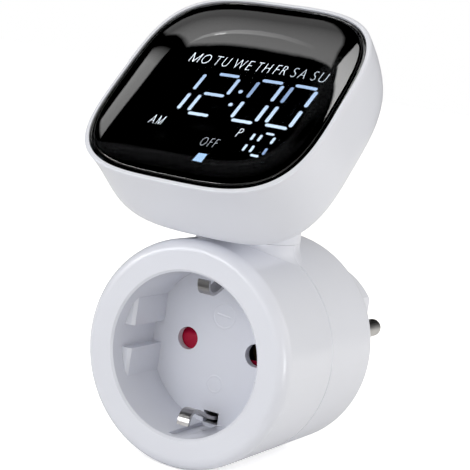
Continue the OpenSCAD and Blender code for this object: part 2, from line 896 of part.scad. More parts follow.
module swivel_spigot() {
    cut_half = turn_limit + stop_half + 2;
    color([0.86, 0.87, 0.88])
        translate([0, seam_y, 0])
            difference() {
                union() {
                    translate([0, 0, flange_low])
                        cylinder(h = joint_z - flange_low, r = spigot_d / 2);
                    translate([0, 0, flange_low])
                        intersection() {
                            cylinder(h = flange_t, r = flange_d / 2);
                            union() {
                                cylinder(h = flange_t, r = stop_r);
                                linear_extrude(flange_t)
                                    polygon([[0, 0],
                                        [big * sin(cut_half), big * cos(cut_half)],
                                        [big, -big], [-big, -big],
                                        [-big * sin(cut_half), big * cos(cut_half)]]);
                            }
                        }
                }
                translate([0, 0, flange_low - 1])
                    cylinder(h = 20, r = neck_bore_d / 2);
                spigot_holes(1.05, 1.6);
            }
}

// Puts a piece on each of the spigot's three screw axes
module on_spigot() {
    for (a = [90, 210, 330])
        translate([5.15 * cos(a), 5.15 * sin(a), 0])
            children();
}

// The three screw holes through the spigot with their sunk heads
module spigot_holes(shank_r, head_r) {
    on_spigot() {
        translate([0, 0, flange_low - 1])
            cylinder(h = 20, r = shank_r, $fn = small_fn);
        translate([0, 0, flange_low - 1])
            cylinder(h = 2.2, r = head_r, $fn = small_fn);
    }
}

module spigot_screws() {
    color([0.6, 0.6, 0.62])
        translate([0, seam_y, 0])
            on_spigot() {
                translate([0, 0, flange_low + 1.2 - eps])
                    cylinder(h = joint_z + neck_floor - 0.7 - flange_low - 1.2, r = 0.8, $fn = small_fn);
                difference() {
                    translate([0, 0, flange_low + 0.2])
                        cylinder(h = 1, r = 1.45, $fn = small_fn);
                    translate([0, 0, flange_low])
                        cube([2, 0.45, 1], center = true);
                }
            }
}

// ---- Head ----

// Sets a piece in the head's own frame: x across, y up the display, z out of the lens
module head_place() {
    translate([0, seam_y - head_ahead, head_z])
        rotate([tilt, 0, 0])
            children();
}

function sgn_pow(v, e) = sign(v) * pow(abs(v), e);

function outline(a, b, n, count) =
    [for (i = [0 : count - 1]) let (t = 360 * i / count)
        [a * sgn_pow(cos(t), 2 / n), b * sgn_pow(sin(t), 2 / n)]];

// A closed solid through a stack of rings with the same number of points each
module stacked(rings, count) {
    m = len(rings);
    points = [for (ring = rings) for (p = ring) p];
    faces = concat(
        [[for (j = [0 : count - 1]) j]],
        [for (i = [0 : m - 2]) for (j = [0 : count - 1])
            [i * count + j, (i + 1) * count + j, (i + 1) * count + (j + 1) % count,
                i * count + (j + 1) % count]],
        [[for (j = [count - 1 : -1 : 0]) (m - 1) * count + j]]);
    polyhedron(points, faces, convexity = 6);
}

function taper(k) = pow(max(1 - pow(k, head_turn), 0), 1 / 1.22);

function sag(k) = 7.9 * k - 9.4 * k * k;

function bowl_ring(k, a, b, depth, count, w) =
    [for (p = outline(a * w, b * w, head_square - 0.2 * k, count))
        [p[0], p[1] + sag(k), -depth * k]];

// The head's bowl, its walls moved in by an inset, from its base to its rim
module bowl(inset, count) {
    a = head_a - inset;
    b = head_b - inset;
    depth = head_depth - inset;
    rim = inset > 0
        ? [[for (p = outline(a, b, head_square, count)) [p[0], p[1], 1]]]
        : [bowl_ring(0.03, a, b, depth, count, 1),
            bowl_ring(0.012, a - 0.1, b - 0.1, depth, count, 1),
            bowl_ring(0, a - 0.45, b - 0.45, depth, count, 1)];
    ks = [0.99, 0.97, 0.94, 0.9, 0.85, 0.78, 0.69, 0.58, 0.45, 0.3, 0.1];
    stacked(concat([bowl_ring(1, a, b, depth, count, 0.03)],
        [for (k = ks) bowl_ring(k, a, b, depth, count, taper(k))], rim), count);
}

// The neck as it runs from the turning joint into the bowl
module head_neck() {
    k = 0.93;
    hull() {
        translate([0, seam_y, joint_z])
            cylinder(h = 1, r = neck_r, $fn = 48);
        head_place()
            translate([0, sag(k), -head_depth * k])
                cylinder(h = 1, r = neck_top_d / 2, $fn = 48);
    }
}

function top_y(x) =
    let (k = button_behind / head_depth)
        head_b * taper(k) * pow(1 - pow(abs(x) / head_a, head_square), 1 / head_square) + sag(k);

// Inner face that holds the flange of the button at x
function ceiling_y(x) = top_y(abs(x) + button_flange_d / 2 + 0.5) - 1.2;

module head_shell() {
    count = 48;
    pocket = lens_edge + 0.3;
    color([0.93, 0.94, 0.96])
        difference() {
            union() {
                difference() {
                    union() {
                        head_place()
                            bowl(0, count);
                        head_neck();
                    }
                    head_place()
                        bowl(head_wall, count);
                    translate([0, seam_y, joint_z + neck_floor])
                        cylinder(h = axis_meet_z + 1 - joint_z - neck_floor, r = neck_top_d / 2 - 4.2);
                }
                head_place()
                    intersection() {
                        bowl(0.9, 28);
                        for (sx = [-1, 1])
                            for (sy = [-1, 1])
                                translate([sx * board_screw_at, sy * board_screw_at,
                                        -board_post_from])
                                    cylinder(h = board_post_from - board_back, r = board_post_r,
                                        $fn = small_fn);
                    }
            }
            translate([0, seam_y, joint_z - 1])
                cylinder(h = 6, r = neck_bore_d / 2);
            translate([0, seam_y, joint_z - 1])
                on_spigot()
                    cylinder(h = neck_floor + 0.5, r = 0.8, $fn = small_fn);
            head_place() {
                translate([0, 0, -head_depth - 1])
                    cylinder(h = 7, r = cable_r + 0.6, $fn = small_fn);
                translate([0, 0, -pocket])
                    linear_extrude(pocket + 1)
                        polygon(outline(lens_w / 2 + lens_gap, lens_h / 2 + lens_gap,
                            head_square, count));
                for (i = [0 : 3])
                    button_hole((i - 1.5) * button_pitch);
                for (sx = [-1, 1])
                    for (sy = [-1, 1])
                        translate([sx * board_screw_at, sy * board_screw_at, -board_back - 8])
                            cylinder(h = 9, r = 0.8, $fn = small_fn);
            }
        }
}

module button_hole(x) {
    translate([x, 0, -button_behind])
        rotate([-90, 0, 0]) {
            cylinder(h = 40, r = button_d / 2 + button_gap, $fn = small_fn);
            translate([0, 0, 20])
                cylinder(h = ceiling_y(x) - 20, r = button_flange_d / 2 + 0.4, $fn = small_fn);
        }
}

module lens() {
    count = 64;
    a = lens_w / 2;
    b = lens_h / 2;
    color([0.03, 0.03, 0.05, 0.9])
        head_place()
            stacked(concat(
                [[for (p = outline(a, b, head_square, count)) [p[0], p[1], -lens_edge - 0.3]]],
                [[for (p = outline(a, b, head_square, count)) [p[0], p[1], -0.5]]],
                [for (r = [0.993, 0.97, 0.9, 0.78, 0.62, 0.44, 0.26, 0.08])
                    [for (p = outline(a * r, b * r, head_square, count))
                        [p[0], p[1], lens_dome * (1 - pow(r, 2.2)) - 0.3]]]), count);
}

module display_module() {
    corner = board_screw_at - board_screw_room;
    color([0.06, 0.06, 0.08])
        head_place()
            difference() {
                translate([-module_w / 2, -module_w / 2, -module_back])
                    cube([module_w, module_h, module_t]);
                for (sx = [-1, 1])
                    translate([sx * (corner + board_w / 2) - board_w / 2, -corner - board_w,
                            -module_back - 1])
                        cube([board_w, board_w, module_t + 2]);
                for (sx = [-1, 1])
                    translate([sx * module_w / 2, module_top, -module_back + 1])
                        cylinder(h = module_t, r = 1.2, $fn = small_fn);
            }
}

module display_board() {
    half = board_w / 2 - board_round;
    color([0.1, 0.32, 0.2])
        head_place()
            translate([0, 0, -board_back])
                difference() {
                    union() {
                        translate([-half, -board_w / 2, 0])
                            cube([2 * half, board_w, board_t]);
                        translate([-board_w / 2, -half, 0])
                            cube([board_w, 2 * half, board_t]);
                        for (sx = [-1, 1])
                            for (sy = [-1, 1])
                                translate([sx * half, sy * half, 0])
                                    cylinder(h = board_t, r = board_round);
                    }
                    for (sx = [-1, 1])
                        for (sy = [-1, 1])
                            translate([sx * board_screw_at, sy * board_screw_at, -1])
                                cylinder(h = 4, r = 1.1, $fn = small_fn);
                }
}

module display_board_screws() {
    color([0.6, 0.6, 0.62])
        head_place()
            for (sx = [-1, 1])
                for (sy = [-1, 1])
                    translate([sx * board_screw_at, sy * board_screw_at, -module_back]) {
                        translate([0, 0, -board_t - 4])
                            cylinder(h = board_t + 4 + eps, r = 0.8, $fn = small_fn);
                        difference() {
                            cylinder(h = 1.2, r = 1.7, $fn = small_fn);
                            translate([0, 0, 1.2])
                                cube([2.2, 0.5, 0.8], center = true);
                            translate([0, 0, 1.2])
                                cube([0.5, 2.2, 0.8], center = true);
                        }
                    }
}

module controller_chip() {
    color([0.1, 0.1, 0.11])
        head_place()
            translate([-board_w / 4, -board_w / 8, -board_back - 1.4]) {
                translate([-chip_w / 2, -chip_w / 2, 0.2])
                    cube([chip_w, chip_w, 1]);
                for (i = [-0.5 * chip_w + 0.5 : chip_w / 2 - 0.5]) {
                    translate([-chip_w / 2 - 1, i - 0.2, 1.2])
                        cube([chip_w + 2, 0.4, 0.2]);
                    translate([i - 0.2, -chip_w / 2 - 1, 1.2])
                        cube([0.4, chip_w + 2, 0.2]);
                }
                translate([0.1 - chip_w / 2, 0.1 - chip_w / 2, 1])
                    cube([chip_w - 0.2, chip_w - 0.2, 0.4]);
            }
}

// Height of the switches' plungers up the display
function plunger_y(x) = ceiling_y(x) - seat_gap - 0.8 - 2.2;

module button_switches() {
    color([0.15, 0.15, 0.16])
        head_place()
            for (i = [0 : 3]) {
                x = (i - 1.5) * button_pitch;
                translate([x - 3, switch_from, -board_back - 4.6])
                    cube([6, plunger_y(x) - switch_from - 0.8, 4.6]);
                translate([x, switch_from + 0.5, -button_behind])
                    rotate([-90, 0, 0])
                        cylinder(h = plunger_y(x) - switch_from - 0.5, r = 1.4, $fn = small_fn);
            }
}

module backup_battery() {
    color([0.3, 0.5, 0.35])
        head_place()
            translate([board_w / 2 - battery_side - battery_d / 2,
                    -board_w / 2 + battery_end + battery_d / 2, -board_back - battery_t]) {
                cylinder(h = battery_t, r = battery_d / 2);
                translate([0, 0, -0.3])
                    cylinder(h = 1, r = battery_d / 2 - 1.6);
            }
}

// A push button with its retaining flange and its stem over the switch
module push_button(index) {
    x = (index - 1.5) * button_pitch;
    flange = ceiling_y(x) - seat_gap;
    stem_end = plunger_y(x) + button_travel + 0.1;
    top = top_y(x) + button_proud;
    color([0.86, 0.87, 0.9])
        head_place()
            translate([x, 0, -button_behind])
                rotate([-90, 0, 0]) {
                    translate([0, 0, flange - 0.8 - eps])
                        cylinder(h = top - flange + 0.3 + 2 * eps, r = button_d / 2);
                    translate([0, 0, top - 0.5 - eps])
                        cylinder(h = 0.5, r1 = button_d / 2, r2 = button_d / 2 - 0.5);
                    translate([0, 0, flange - 0.8])
                        cylinder(h = 0.8, r = button_flange_d / 2);
                    translate([0, 0, stem_end])
                        cylinder(h = flange - stem_end, r = 1.5, $fn = small_fn);
                }
}

front_housing();
rear_housing();
housing_screws();
contact_carrier();
carrier_screws();
socket_contact(-1);  // contact_left
socket_contact(1);  // contact_right
shutter();
shutter_spring();
earth_strip(1);  // earth_strip_top
earth_strip(-1);  // earth_strip_bottom
earth_link();
plug_pin(-1);  // plug_pin_left
plug_pin(1);  // plug_pin_right
power_board();
power_board_screws();
relay();
film_capacitor();
smoothing_capacitor();
fuse();
cable_lower();
friction_washer();
swivel_spigot();
spigot_screws();
head_shell();
lens();
display_module();
display_board();
display_board_screws();
controller_chip();
button_switches();
backup_battery();
cable_upper();
push_button(0);  // button_set
push_button(1);  // button_minus
push_button(2);  // button_plus
push_button(3);  // button_on_off
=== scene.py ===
import math

import bmesh
import bpy
import numpy as np
from mathutils import Matrix, Vector


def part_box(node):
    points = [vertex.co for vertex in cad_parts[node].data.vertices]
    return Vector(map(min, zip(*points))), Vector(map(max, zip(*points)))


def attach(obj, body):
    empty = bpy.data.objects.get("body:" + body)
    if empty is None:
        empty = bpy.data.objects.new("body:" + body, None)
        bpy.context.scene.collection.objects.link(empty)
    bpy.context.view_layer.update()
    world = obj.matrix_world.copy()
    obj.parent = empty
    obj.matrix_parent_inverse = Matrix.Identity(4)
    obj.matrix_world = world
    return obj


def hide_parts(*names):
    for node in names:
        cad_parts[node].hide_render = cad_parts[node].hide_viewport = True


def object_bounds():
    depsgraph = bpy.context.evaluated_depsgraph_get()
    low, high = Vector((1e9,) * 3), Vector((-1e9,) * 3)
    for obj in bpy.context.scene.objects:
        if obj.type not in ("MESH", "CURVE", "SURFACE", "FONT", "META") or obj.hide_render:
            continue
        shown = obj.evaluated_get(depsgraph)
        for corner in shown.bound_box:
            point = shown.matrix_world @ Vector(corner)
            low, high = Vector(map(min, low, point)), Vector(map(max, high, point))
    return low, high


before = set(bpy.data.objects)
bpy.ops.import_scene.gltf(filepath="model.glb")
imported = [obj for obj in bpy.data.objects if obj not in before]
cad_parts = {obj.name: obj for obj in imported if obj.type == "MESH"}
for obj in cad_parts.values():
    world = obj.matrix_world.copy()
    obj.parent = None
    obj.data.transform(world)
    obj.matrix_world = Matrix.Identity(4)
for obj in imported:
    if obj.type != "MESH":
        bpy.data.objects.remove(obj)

CAD_BOX = [list(v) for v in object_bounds()]
MM = 0.001
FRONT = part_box("front_housing")[0].y
HOUSING_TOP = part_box("front_housing")[1].z
SEAM_DEPTH, RECESS_DEPTH = 24, 18.3
HEAD_FORWARD, HEAD_HIGH, HEAD_LEAN = 21.3, 62, 45
SEAM = FRONT + SEAM_DEPTH * MM
HEAD = Matrix.Translation((0.0, SEAM - HEAD_FORWARD * MM, HEAD_HIGH * MM)) \
    @ Matrix.Rotation(math.radians(HEAD_LEAN), 4, "X")
scene = bpy.context.scene
scene.view_settings.view_transform = "Standard"


# ---------------------------------------------------------------- node helpers

def link(tree, a, b):
    tree.links.new(a, b)


def calculate(tree, operation, kind="ShaderNodeMath"):
    """A math node set to one operation."""
    node = tree.nodes.new(kind)
    node.operation = operation
    return node


def noise(tree, coord, scale, detail=2.0):
    """A noise texture on object coordinates, its scale a number or a socket."""
    node = tree.nodes.new("ShaderNodeTexNoise")
    node.inputs["Detail"].default_value = detail
    if isinstance(scale, float):
        node.inputs["Scale"].default_value = scale
    else:
        link(tree, scale, node.inputs["Scale"])
    link(tree, coord.outputs["Object"], node.inputs["Vector"])
    return node


def ranged(tree, value, low, high):
    """A value from 0 to 1 brought between two levels."""
    node = tree.nodes.new("ShaderNodeMapRange")
    node.inputs["To Min"].default_value = low
    node.inputs["To Max"].default_value = high
    link(tree, value, node.inputs["Value"])
    return node.outputs["Result"]


def new_material(name):
    mat = bpy.data.materials.new(name)
    mat.use_nodes = True
    tree = mat.node_tree
    tree.nodes.clear()
    out = tree.nodes.new("ShaderNodeOutputMaterial")
    shader = tree.nodes.new("ShaderNodeBsdfPrincipled")
    link(tree, shader.outputs["BSDF"], out.inputs["Surface"])
    return mat, tree, shader


def make_group(name, inputs, outputs):
    """A shader node group with its input and output nodes."""
    group = bpy.data.node_groups.new(name, "ShaderNodeTree")
    for label, kind, value in inputs:
        socket = group.interface.new_socket(name=label, in_out="INPUT", socket_type=kind)
        socket.default_value = value
    for label, kind in outputs:
        group.interface.new_socket(name=label, in_out="OUTPUT", socket_type=kind)
    return group, group.nodes.new("NodeGroupInput"), group.nodes.new("NodeGroupOutput")


GRAIN_OUTPUTS = [("Color", "NodeSocketColor"), ("Roughness", "NodeSocketFloat"),
                 ("Height", "NodeSocketFloat")]


def moulded_grain_group():
    """Fine grain of moulded plastic: a colour with faint clouding, a roughness and a height."""
    group, gin, gout = make_group(
        "moulded grain",
        [("Color", "NodeSocketColor", (0.8, 0.8, 0.8, 1.0)),
         ("Clouding", "NodeSocketFloat", 0.03),
         ("Roughness", "NodeSocketFloat", 0.4),
         ("Roughness Spread", "NodeSocketFloat", 0.06),
         ("Grain Scale", "NodeSocketFloat", 2600.0)],
        GRAIN_OUTPUTS)
    coord = group.nodes.new("ShaderNodeTexCoord")
    cloud = noise(group, coord, 55.0, 3.0)
    grain = noise(group, coord, gin.outputs["Grain Scale"])
    centred = calculate(group, "SUBTRACT")
    centred.inputs[1].default_value = 0.5
    link(group, cloud.outputs["Fac"], centred.inputs[0])
    amount = calculate(group, "MULTIPLY_ADD")
    amount.inputs[2].default_value = 1.0
    link(group, centred.outputs[0], amount.inputs[0])
    link(group, gin.outputs["Clouding"], amount.inputs[1])
    tint = calculate(group, "SCALE", "ShaderNodeVectorMath")
    link(group, gin.outputs["Color"], tint.inputs[0])
    link(group, amount.outputs[0], tint.inputs["Scale"])
    rough = calculate(group, "MULTIPLY_ADD")
    link(group, centred.outputs[0], rough.inputs[0])
    link(group, gin.outputs["Roughness Spread"], rough.inputs[1])
    link(group, gin.outputs["Roughness"], rough.inputs[2])
    link(group, tint.outputs["Vector"], gout.inputs["Color"])
    link(group, rough.outputs[0], gout.inputs["Roughness"])
    link(group, grain.outputs["Fac"], gout.inputs["Height"])
    return group


def drawn_metal_group():
    """Fine drawing lines along one axis of sheet or wire, with patches of duller metal."""
    group, gin, gout = make_group(
        "drawn metal",
        [("Color", "NodeSocketColor", (0.7, 0.7, 0.7, 1.0)),
         ("Stretch", "NodeSocketVector", (4000.0, 60.0, 4000.0)),
         ("Roughness", "NodeSocketFloat", 0.25),
         ("Roughness Spread", "NodeSocketFloat", 0.25)],
        GRAIN_OUTPUTS)
    coord = group.nodes.new("ShaderNodeTexCoord")
    scale = calculate(group, "MULTIPLY", "ShaderNodeVectorMath")
    link(group, coord.outputs["Object"], scale.inputs[0])
    link(group, gin.outputs["Stretch"], scale.inputs[1])
    lines = group.nodes.new("ShaderNodeTexNoise")
    lines.inputs["Scale"].default_value = 1.0
    lines.inputs["Detail"].default_value = 3.0
    link(group, scale.outputs["Vector"], lines.inputs["Vector"])
    patch = noise(group, coord, 240.0)
    rough = calculate(group, "MULTIPLY_ADD")
    link(group, lines.outputs["Fac"], rough.inputs[0])
    link(group, gin.outputs["Roughness Spread"], rough.inputs[1])
    link(group, gin.outputs["Roughness"], rough.inputs[2])
    tint = calculate(group, "SCALE", "ShaderNodeVectorMath")
    link(group, gin.outputs["Color"], tint.inputs[0])
    link(group, ranged(group, patch.outputs["Fac"], 0.86, 1.06), tint.inputs["Scale"])
    link(group, tint.outputs["Vector"], gout.inputs["Color"])
    link(group, rough.outputs[0], gout.inputs["Roughness"])
    link(group, lines.outputs["Fac"], gout.inputs["Height"])
    return group


MOULDED = moulded_grain_group()
DRAWN = drawn_metal_group()


def place_group(tree, group, **values):
    node = tree.nodes.new("ShaderNodeGroup")
    node.node_tree = group
    for label, value in values.items():
        node.inputs[label.replace("_", " ")].default_value = value
    return node


def bump(tree, shader, height, strength, distance):
    """Small unevenness on a shader's normal."""
    node = tree.nodes.new("ShaderNodeBump")
    node.inputs["Strength"].default_value = strength
    node.inputs["Distance"].default_value = distance
    link(tree, height, node.inputs["Height"])
    link(tree, node.outputs["Normal"], shader.inputs["Normal"])


GRAIN_HEIGHT, DRAWN_HEIGHT = 0.00002, 0.00001
MOULDED_SPREAD, MOULDED_IOR = 0.06, 1.46


def moulded(name, colour, roughness, clouding=0.03, grain=2600.0, strength=0.05, specular=0.5):
    """Moulded plastic."""
    mat, tree, shader = new_material(name)
    node = place_group(tree, MOULDED, Color=(*colour, 1.0), Clouding=clouding, Roughness=roughness,
                       Roughness_Spread=MOULDED_SPREAD, Grain_Scale=grain)
    link(tree, node.outputs["Color"], shader.inputs["Base Color"])
    link(tree, node.outputs["Roughness"], shader.inputs["Roughness"])
    shader.inputs["IOR"].default_value = MOULDED_IOR
    shader.inputs["Specular IOR Level"].default_value = specular
    bump(tree, shader, node.outputs["Height"], strength, GRAIN_HEIGHT)
    return mat


def metal(name, colour, roughness, spread, stretch=(4000.0, 60.0, 4000.0), strength=0.05):
    """Drawn or plated metal."""
    mat, tree, shader = new_material(name)
    node = place_group(tree, DRAWN, Color=(*colour, 1.0), Stretch=stretch, Roughness=roughness,
                       Roughness_Spread=spread)
    link(tree, node.outputs["Color"], shader.inputs["Base Color"])
    link(tree, node.outputs["Roughness"], shader.inputs["Roughness"])
    shader.inputs["Metallic"].default_value = 1.0
    bump(tree, shader, node.outputs["Height"], strength, DRAWN_HEIGHT)
    return mat


def dress(name, mat):
    """Gives a carried-over node its finish."""
    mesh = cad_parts[name].data
    mesh.materials.clear()
    mesh.materials.append(mat)


# ---------------------------------------------------------------- finishes

def smoked_glass(name):
    """Dark see-through glass with faint wiping smears."""
    mat, tree, shader = new_material(name)
    coord = tree.nodes.new("ShaderNodeTexCoord")
    smear = noise(tree, coord, 90.0)
    link(tree, ranged(tree, smear.outputs["Fac"], 0.0, 0.015), shader.inputs["Roughness"])
    tint = tree.nodes.new("ShaderNodeMapRange")
    tint.data_type = "FLOAT_VECTOR"
    tint.inputs[9].default_value = (0.044, 0.046, 0.048)
    tint.inputs[10].default_value = (0.048, 0.050, 0.052)
    spread = tree.nodes.new("ShaderNodeCombineXYZ")
    for axis in range(3):
        link(tree, smear.outputs["Fac"], spread.inputs[axis])
    link(tree, spread.outputs[0], tint.inputs[6])
    link(tree, tint.outputs[1], shader.inputs["Base Color"])
    shader.inputs["IOR"].default_value = 1.49
    shader.inputs["Metallic"].default_value = 0.0
    shader.inputs["Transmission Weight"].default_value = 1.0
    return mat


CLIMB_FROM, CLIMB_TO = 53.5, 63.5


def lit_print(name, low_colour, high_colour, strength, spread=0.1):
    """Light behind a printed opening, changing up the display and slightly uneven."""
    mat, tree, shader = new_material(name)
    coord = tree.nodes.new("ShaderNodeTexCoord")
    uneven = noise(tree, coord, 320.0)
    level = ranged(tree, uneven.outputs["Fac"], strength * (1 - spread), strength * (1 + spread))
    split = tree.nodes.new("ShaderNodeSeparateXYZ")
    link(tree, coord.outputs["Object"], split.inputs[0])
    climb = tree.nodes.new("ShaderNodeMapRange")
    climb.inputs["From Min"].default_value = CLIMB_FROM * MM
    climb.inputs["From Max"].default_value = CLIMB_TO * MM
    link(tree, split.outputs["Z"], climb.inputs["Value"])
    blend = tree.nodes.new("ShaderNodeMix")
    blend.data_type = "RGBA"
    blend.inputs["A"].default_value = (*low_colour, 1.0)
    blend.inputs["B"].default_value = (*high_colour, 1.0)
    link(tree, climb.outputs["Result"], blend.inputs["Factor"])
    shader.inputs["Base Color"].default_value = (0.02, 0.02, 0.02, 1.0)
    shader.inputs["Roughness"].default_value = 0.7
    blended = next(output for output in blend.outputs if output.type == "RGBA")
    link(tree, blended, shader.inputs["Emission Color"])
    link(tree, level, shader.inputs["Emission Strength"])
    return mat


WHITE = (0.715, 0.73, 0.80)
WHITE_FRONT = moulded("white front plastic", WHITE, 0.22, clouding=0.02, strength=0.02)
WHITE_SHELL = moulded("white shell plastic", WHITE, 0.3, clouding=0.02, strength=0.02)
WHITE_BUTTON = moulded("button plastic", (0.70, 0.71, 0.74), 0.5, clouding=0.02)
SHUTTER_RED = moulded("shutter red plastic", (0.42, 0.003, 0.035), 0.42, clouding=0.12,
                      specular=0.25)
CARRIER_BLACK = moulded("black carrier plastic", (0.02, 0.02, 0.022), 0.45)
DISPLAY_BLACK = moulded("display black", (0.003, 0.003, 0.004), 0.7, specular=0.05)
SPIGOT_GREY = moulded("spigot plastic", (0.55, 0.56, 0.58), 0.45)
WASHER_WHITE = moulded("slippery washer plastic", (0.75, 0.73, 0.66), 0.5)
BOARD_GREEN = moulded("board lacquer", (0.02, 0.12, 0.045), 0.3, clouding=0.25, grain=900.0)
RELAY_BLUE = moulded("relay blue plastic", (0.03, 0.09, 0.32), 0.4)
FILM_YELLOW = moulded("capacitor yellow plastic", (0.62, 0.40, 0.02), 0.45)
SLEEVE_DARK = moulded("capacitor sleeve", (0.02, 0.025, 0.06), 0.35)
FUSE_BROWN = moulded("fuse plastic", (0.09, 0.04, 0.025), 0.4)
CABLE_GREY = moulded("cable jacket", (0.06, 0.06, 0.065), 0.6, clouding=0.1)
CELL_GREEN = moulded("cell sleeve", (0.05, 0.18, 0.08), 0.35)
CHIP_BLACK = moulded("chip resin", (0.018, 0.018, 0.02), 0.55, clouding=0.2)
EARTH_STEEL = metal("tinned earth steel", (0.46, 0.45, 0.45), 0.24, 0.14, (900.0, 40.0, 900.0),
                    0.02)
PIN_NICKEL = metal("nickel plating", (0.62, 0.61, 0.60), 0.32, 0.12, (500.0, 60.0, 500.0), 0.02)
SCREW_STEEL = metal("zinc plated screws", (0.52, 0.53, 0.55), 0.22, 0.2, (900.0, 900.0, 900.0))
SPRING_STEEL = metal("spring steel", (0.58, 0.58, 0.6), 0.2, 0.2)
CONTACT_BRASS = metal("aged contact brass", (0.42, 0.30, 0.14), 0.35, 0.2)
SMOKED_GLASS = smoked_glass("smoked lens glass")
PLAIN_WHITE, SQUARE_BLUE = (0.90, 0.95, 1.0), (0.45, 0.66, 0.92)
LIT_WHITE = lit_print("lit white print", (0.73, 0.86, 1.0), (0.44, 0.575, 0.79), 24.0)
DIM_WHITE = lit_print("dim white print", (0.30, 0.41, 0.62), (0.28, 0.38, 0.56), 24.0)
LIT_PLAIN = lit_print("lit plain print", PLAIN_WHITE, PLAIN_WHITE, 34.0, 0.04)
DIM_PLAIN = lit_print("dim plain print", (0.55, 0.58, 0.62), (0.86, 0.93, 1.0), 22.0, 0.04)
LIT_BLUE = lit_print("lit blue square", SQUARE_BLUE, SQUARE_BLUE, 24.0)

FINISH = {
    "front_housing": WHITE_FRONT, "rear_housing": WHITE_SHELL, "head_shell": WHITE_SHELL,
    "housing_screws": SCREW_STEEL, "contact_carrier": CARRIER_BLACK, "carrier_screws": SCREW_STEEL,
    "contact_left": CONTACT_BRASS, "contact_right": CONTACT_BRASS,
    "shutter": SHUTTER_RED, "shutter_spring": SPRING_STEEL,
    "earth_strip_top": EARTH_STEEL, "earth_strip_bottom": EARTH_STEEL,
    "earth_link": EARTH_STEEL,
    "plug_pin_left": PIN_NICKEL, "plug_pin_right": PIN_NICKEL,
    "power_board": BOARD_GREEN, "power_board_screws": SCREW_STEEL, "relay": RELAY_BLUE,
    "film_capacitor": FILM_YELLOW, "smoothing_capacitor": SLEEVE_DARK,
    "fuse": FUSE_BROWN,
    "cable_lower": CABLE_GREY, "cable_upper": CABLE_GREY,
    "friction_washer": WASHER_WHITE, "swivel_spigot": SPIGOT_GREY,
    "spigot_screws": SCREW_STEEL,
    "lens": DISPLAY_BLACK, "display_module": DISPLAY_BLACK, "display_board": BOARD_GREEN,
    "display_board_screws": SCREW_STEEL, "controller_chip": CHIP_BLACK,
    "button_switches": CARRIER_BLACK, "backup_battery": CELL_GREEN,
    "button_set": WHITE_BUTTON, "button_minus": WHITE_BUTTON, "button_plus": WHITE_BUTTON,
    "button_on_off": WHITE_BUTTON,
}
for node_name, finish_material in FINISH.items():
    dress(node_name, finish_material)


# ---------------------------------------------------------------- solid helpers

SHARP = 35.0
FINE_STEPS, BAR_SIDES, ROUND_SIDES = 6000, 48, 96


def put(name, data):
    """A new object in the scene."""
    piece = bpy.data.objects.new(name, data)
    scene.collection.objects.link(piece)
    return piece


def mesh_of(name, work):
    """The mesh of a finished bmesh."""
    mesh = bpy.data.meshes.new(name)
    work.to_mesh(mesh)
    work.free()
    return mesh


def evaluated_mesh(piece):
    """The mesh that an object's modifiers or its text give."""
    graph = bpy.context.evaluated_depsgraph_get()
    return bpy.data.meshes.new_from_object(piece.evaluated_get(graph))


def circle(count):
    """Evenly spaced (x, y) points on a circle of radius 1."""
    return [(math.cos(a), math.sin(a)) for a in np.linspace(0, 2 * math.pi, count + 1)[:-1]]


def finish_mesh(mesh, mat, sharp=SHARP):
    """Outward normals, smooth faces but for edges sharper than an angle, and one material."""
    work = bmesh.new()
    work.from_mesh(mesh)
    bmesh.ops.recalc_face_normals(work, faces=work.faces)
    work.to_mesh(mesh)
    work.free()
    mesh.polygons.foreach_set("use_smooth", [True] * len(mesh.polygons))
    mesh.set_sharp_from_angle(angle=math.radians(sharp))
    mesh.materials.clear()
    mesh.materials.append(mat)
    mesh.update()


def combine(target, tool, kind):
    """Joins a tool to a body or cuts it away, and removes the tool."""
    change = target.modifiers.new("shape", "BOOLEAN")
    change.operation = kind
    change.solver = "MANIFOLD"
    change.object = tool
    mesh = evaluated_mesh(target)
    target.modifiers.clear()
    target.data = mesh
    bpy.data.objects.remove(tool)


def outline(a, b, square, count):
    """Evenly spaced points of a rounded square with half-sizes a and b."""
    t = np.linspace(0.0, 2.0 * math.pi, FINE_STEPS + 1)
    c, s = np.cos(t), np.sin(t)
    x = a * np.sign(c) * np.abs(c) ** (2.0 / square)
    y = b * np.sign(s) * np.abs(s) ** (2.0 / square)
    run = np.concatenate([[0.0], np.cumsum(np.hypot(np.diff(x), np.diff(y)))])
    at = np.arange(count) * run[-1] / count
    return np.stack([np.interp(at, run, x), np.interp(at, run, y)], axis=1)


def lofted(name, rings, mat, sharp=SHARP):
    """A body on the head through rings of points in millimetres, closed by a fan at each end."""
    count = len(rings[0])
    points = [HEAD @ Vector(p * MM) for ring in rings for p in ring]
    faces = []
    for i in range(len(rings) - 1):
        for j in range(count):
            k = (j + 1) % count
            faces.append((i * count + j, (i + 1) * count + j, (i + 1) * count + k,
                          i * count + k))
    for ring, flip in ((0, False), (len(rings) - 1, True)):
        middle = sum(rings[ring]) / count
        points.append(HEAD @ Vector(middle * MM))
        hub = len(points) - 1
        for j in range(count):
            k = (j + 1) % count
            face = (ring * count + j, ring * count + k, hub)
            faces.append(face[::-1] if flip else face)
    mesh = bpy.data.meshes.new(name)
    mesh.from_pydata([tuple(p) for p in points], [], faces)
    finish_mesh(mesh, mat, sharp)
    return put(name, mesh)


def ring_at(shape, y, z):
    """A flat outline moved along y and set at one z."""
    return np.concatenate([shape + np.array([0.0, y]), np.full((len(shape), 1), float(z))],
                          axis=1)


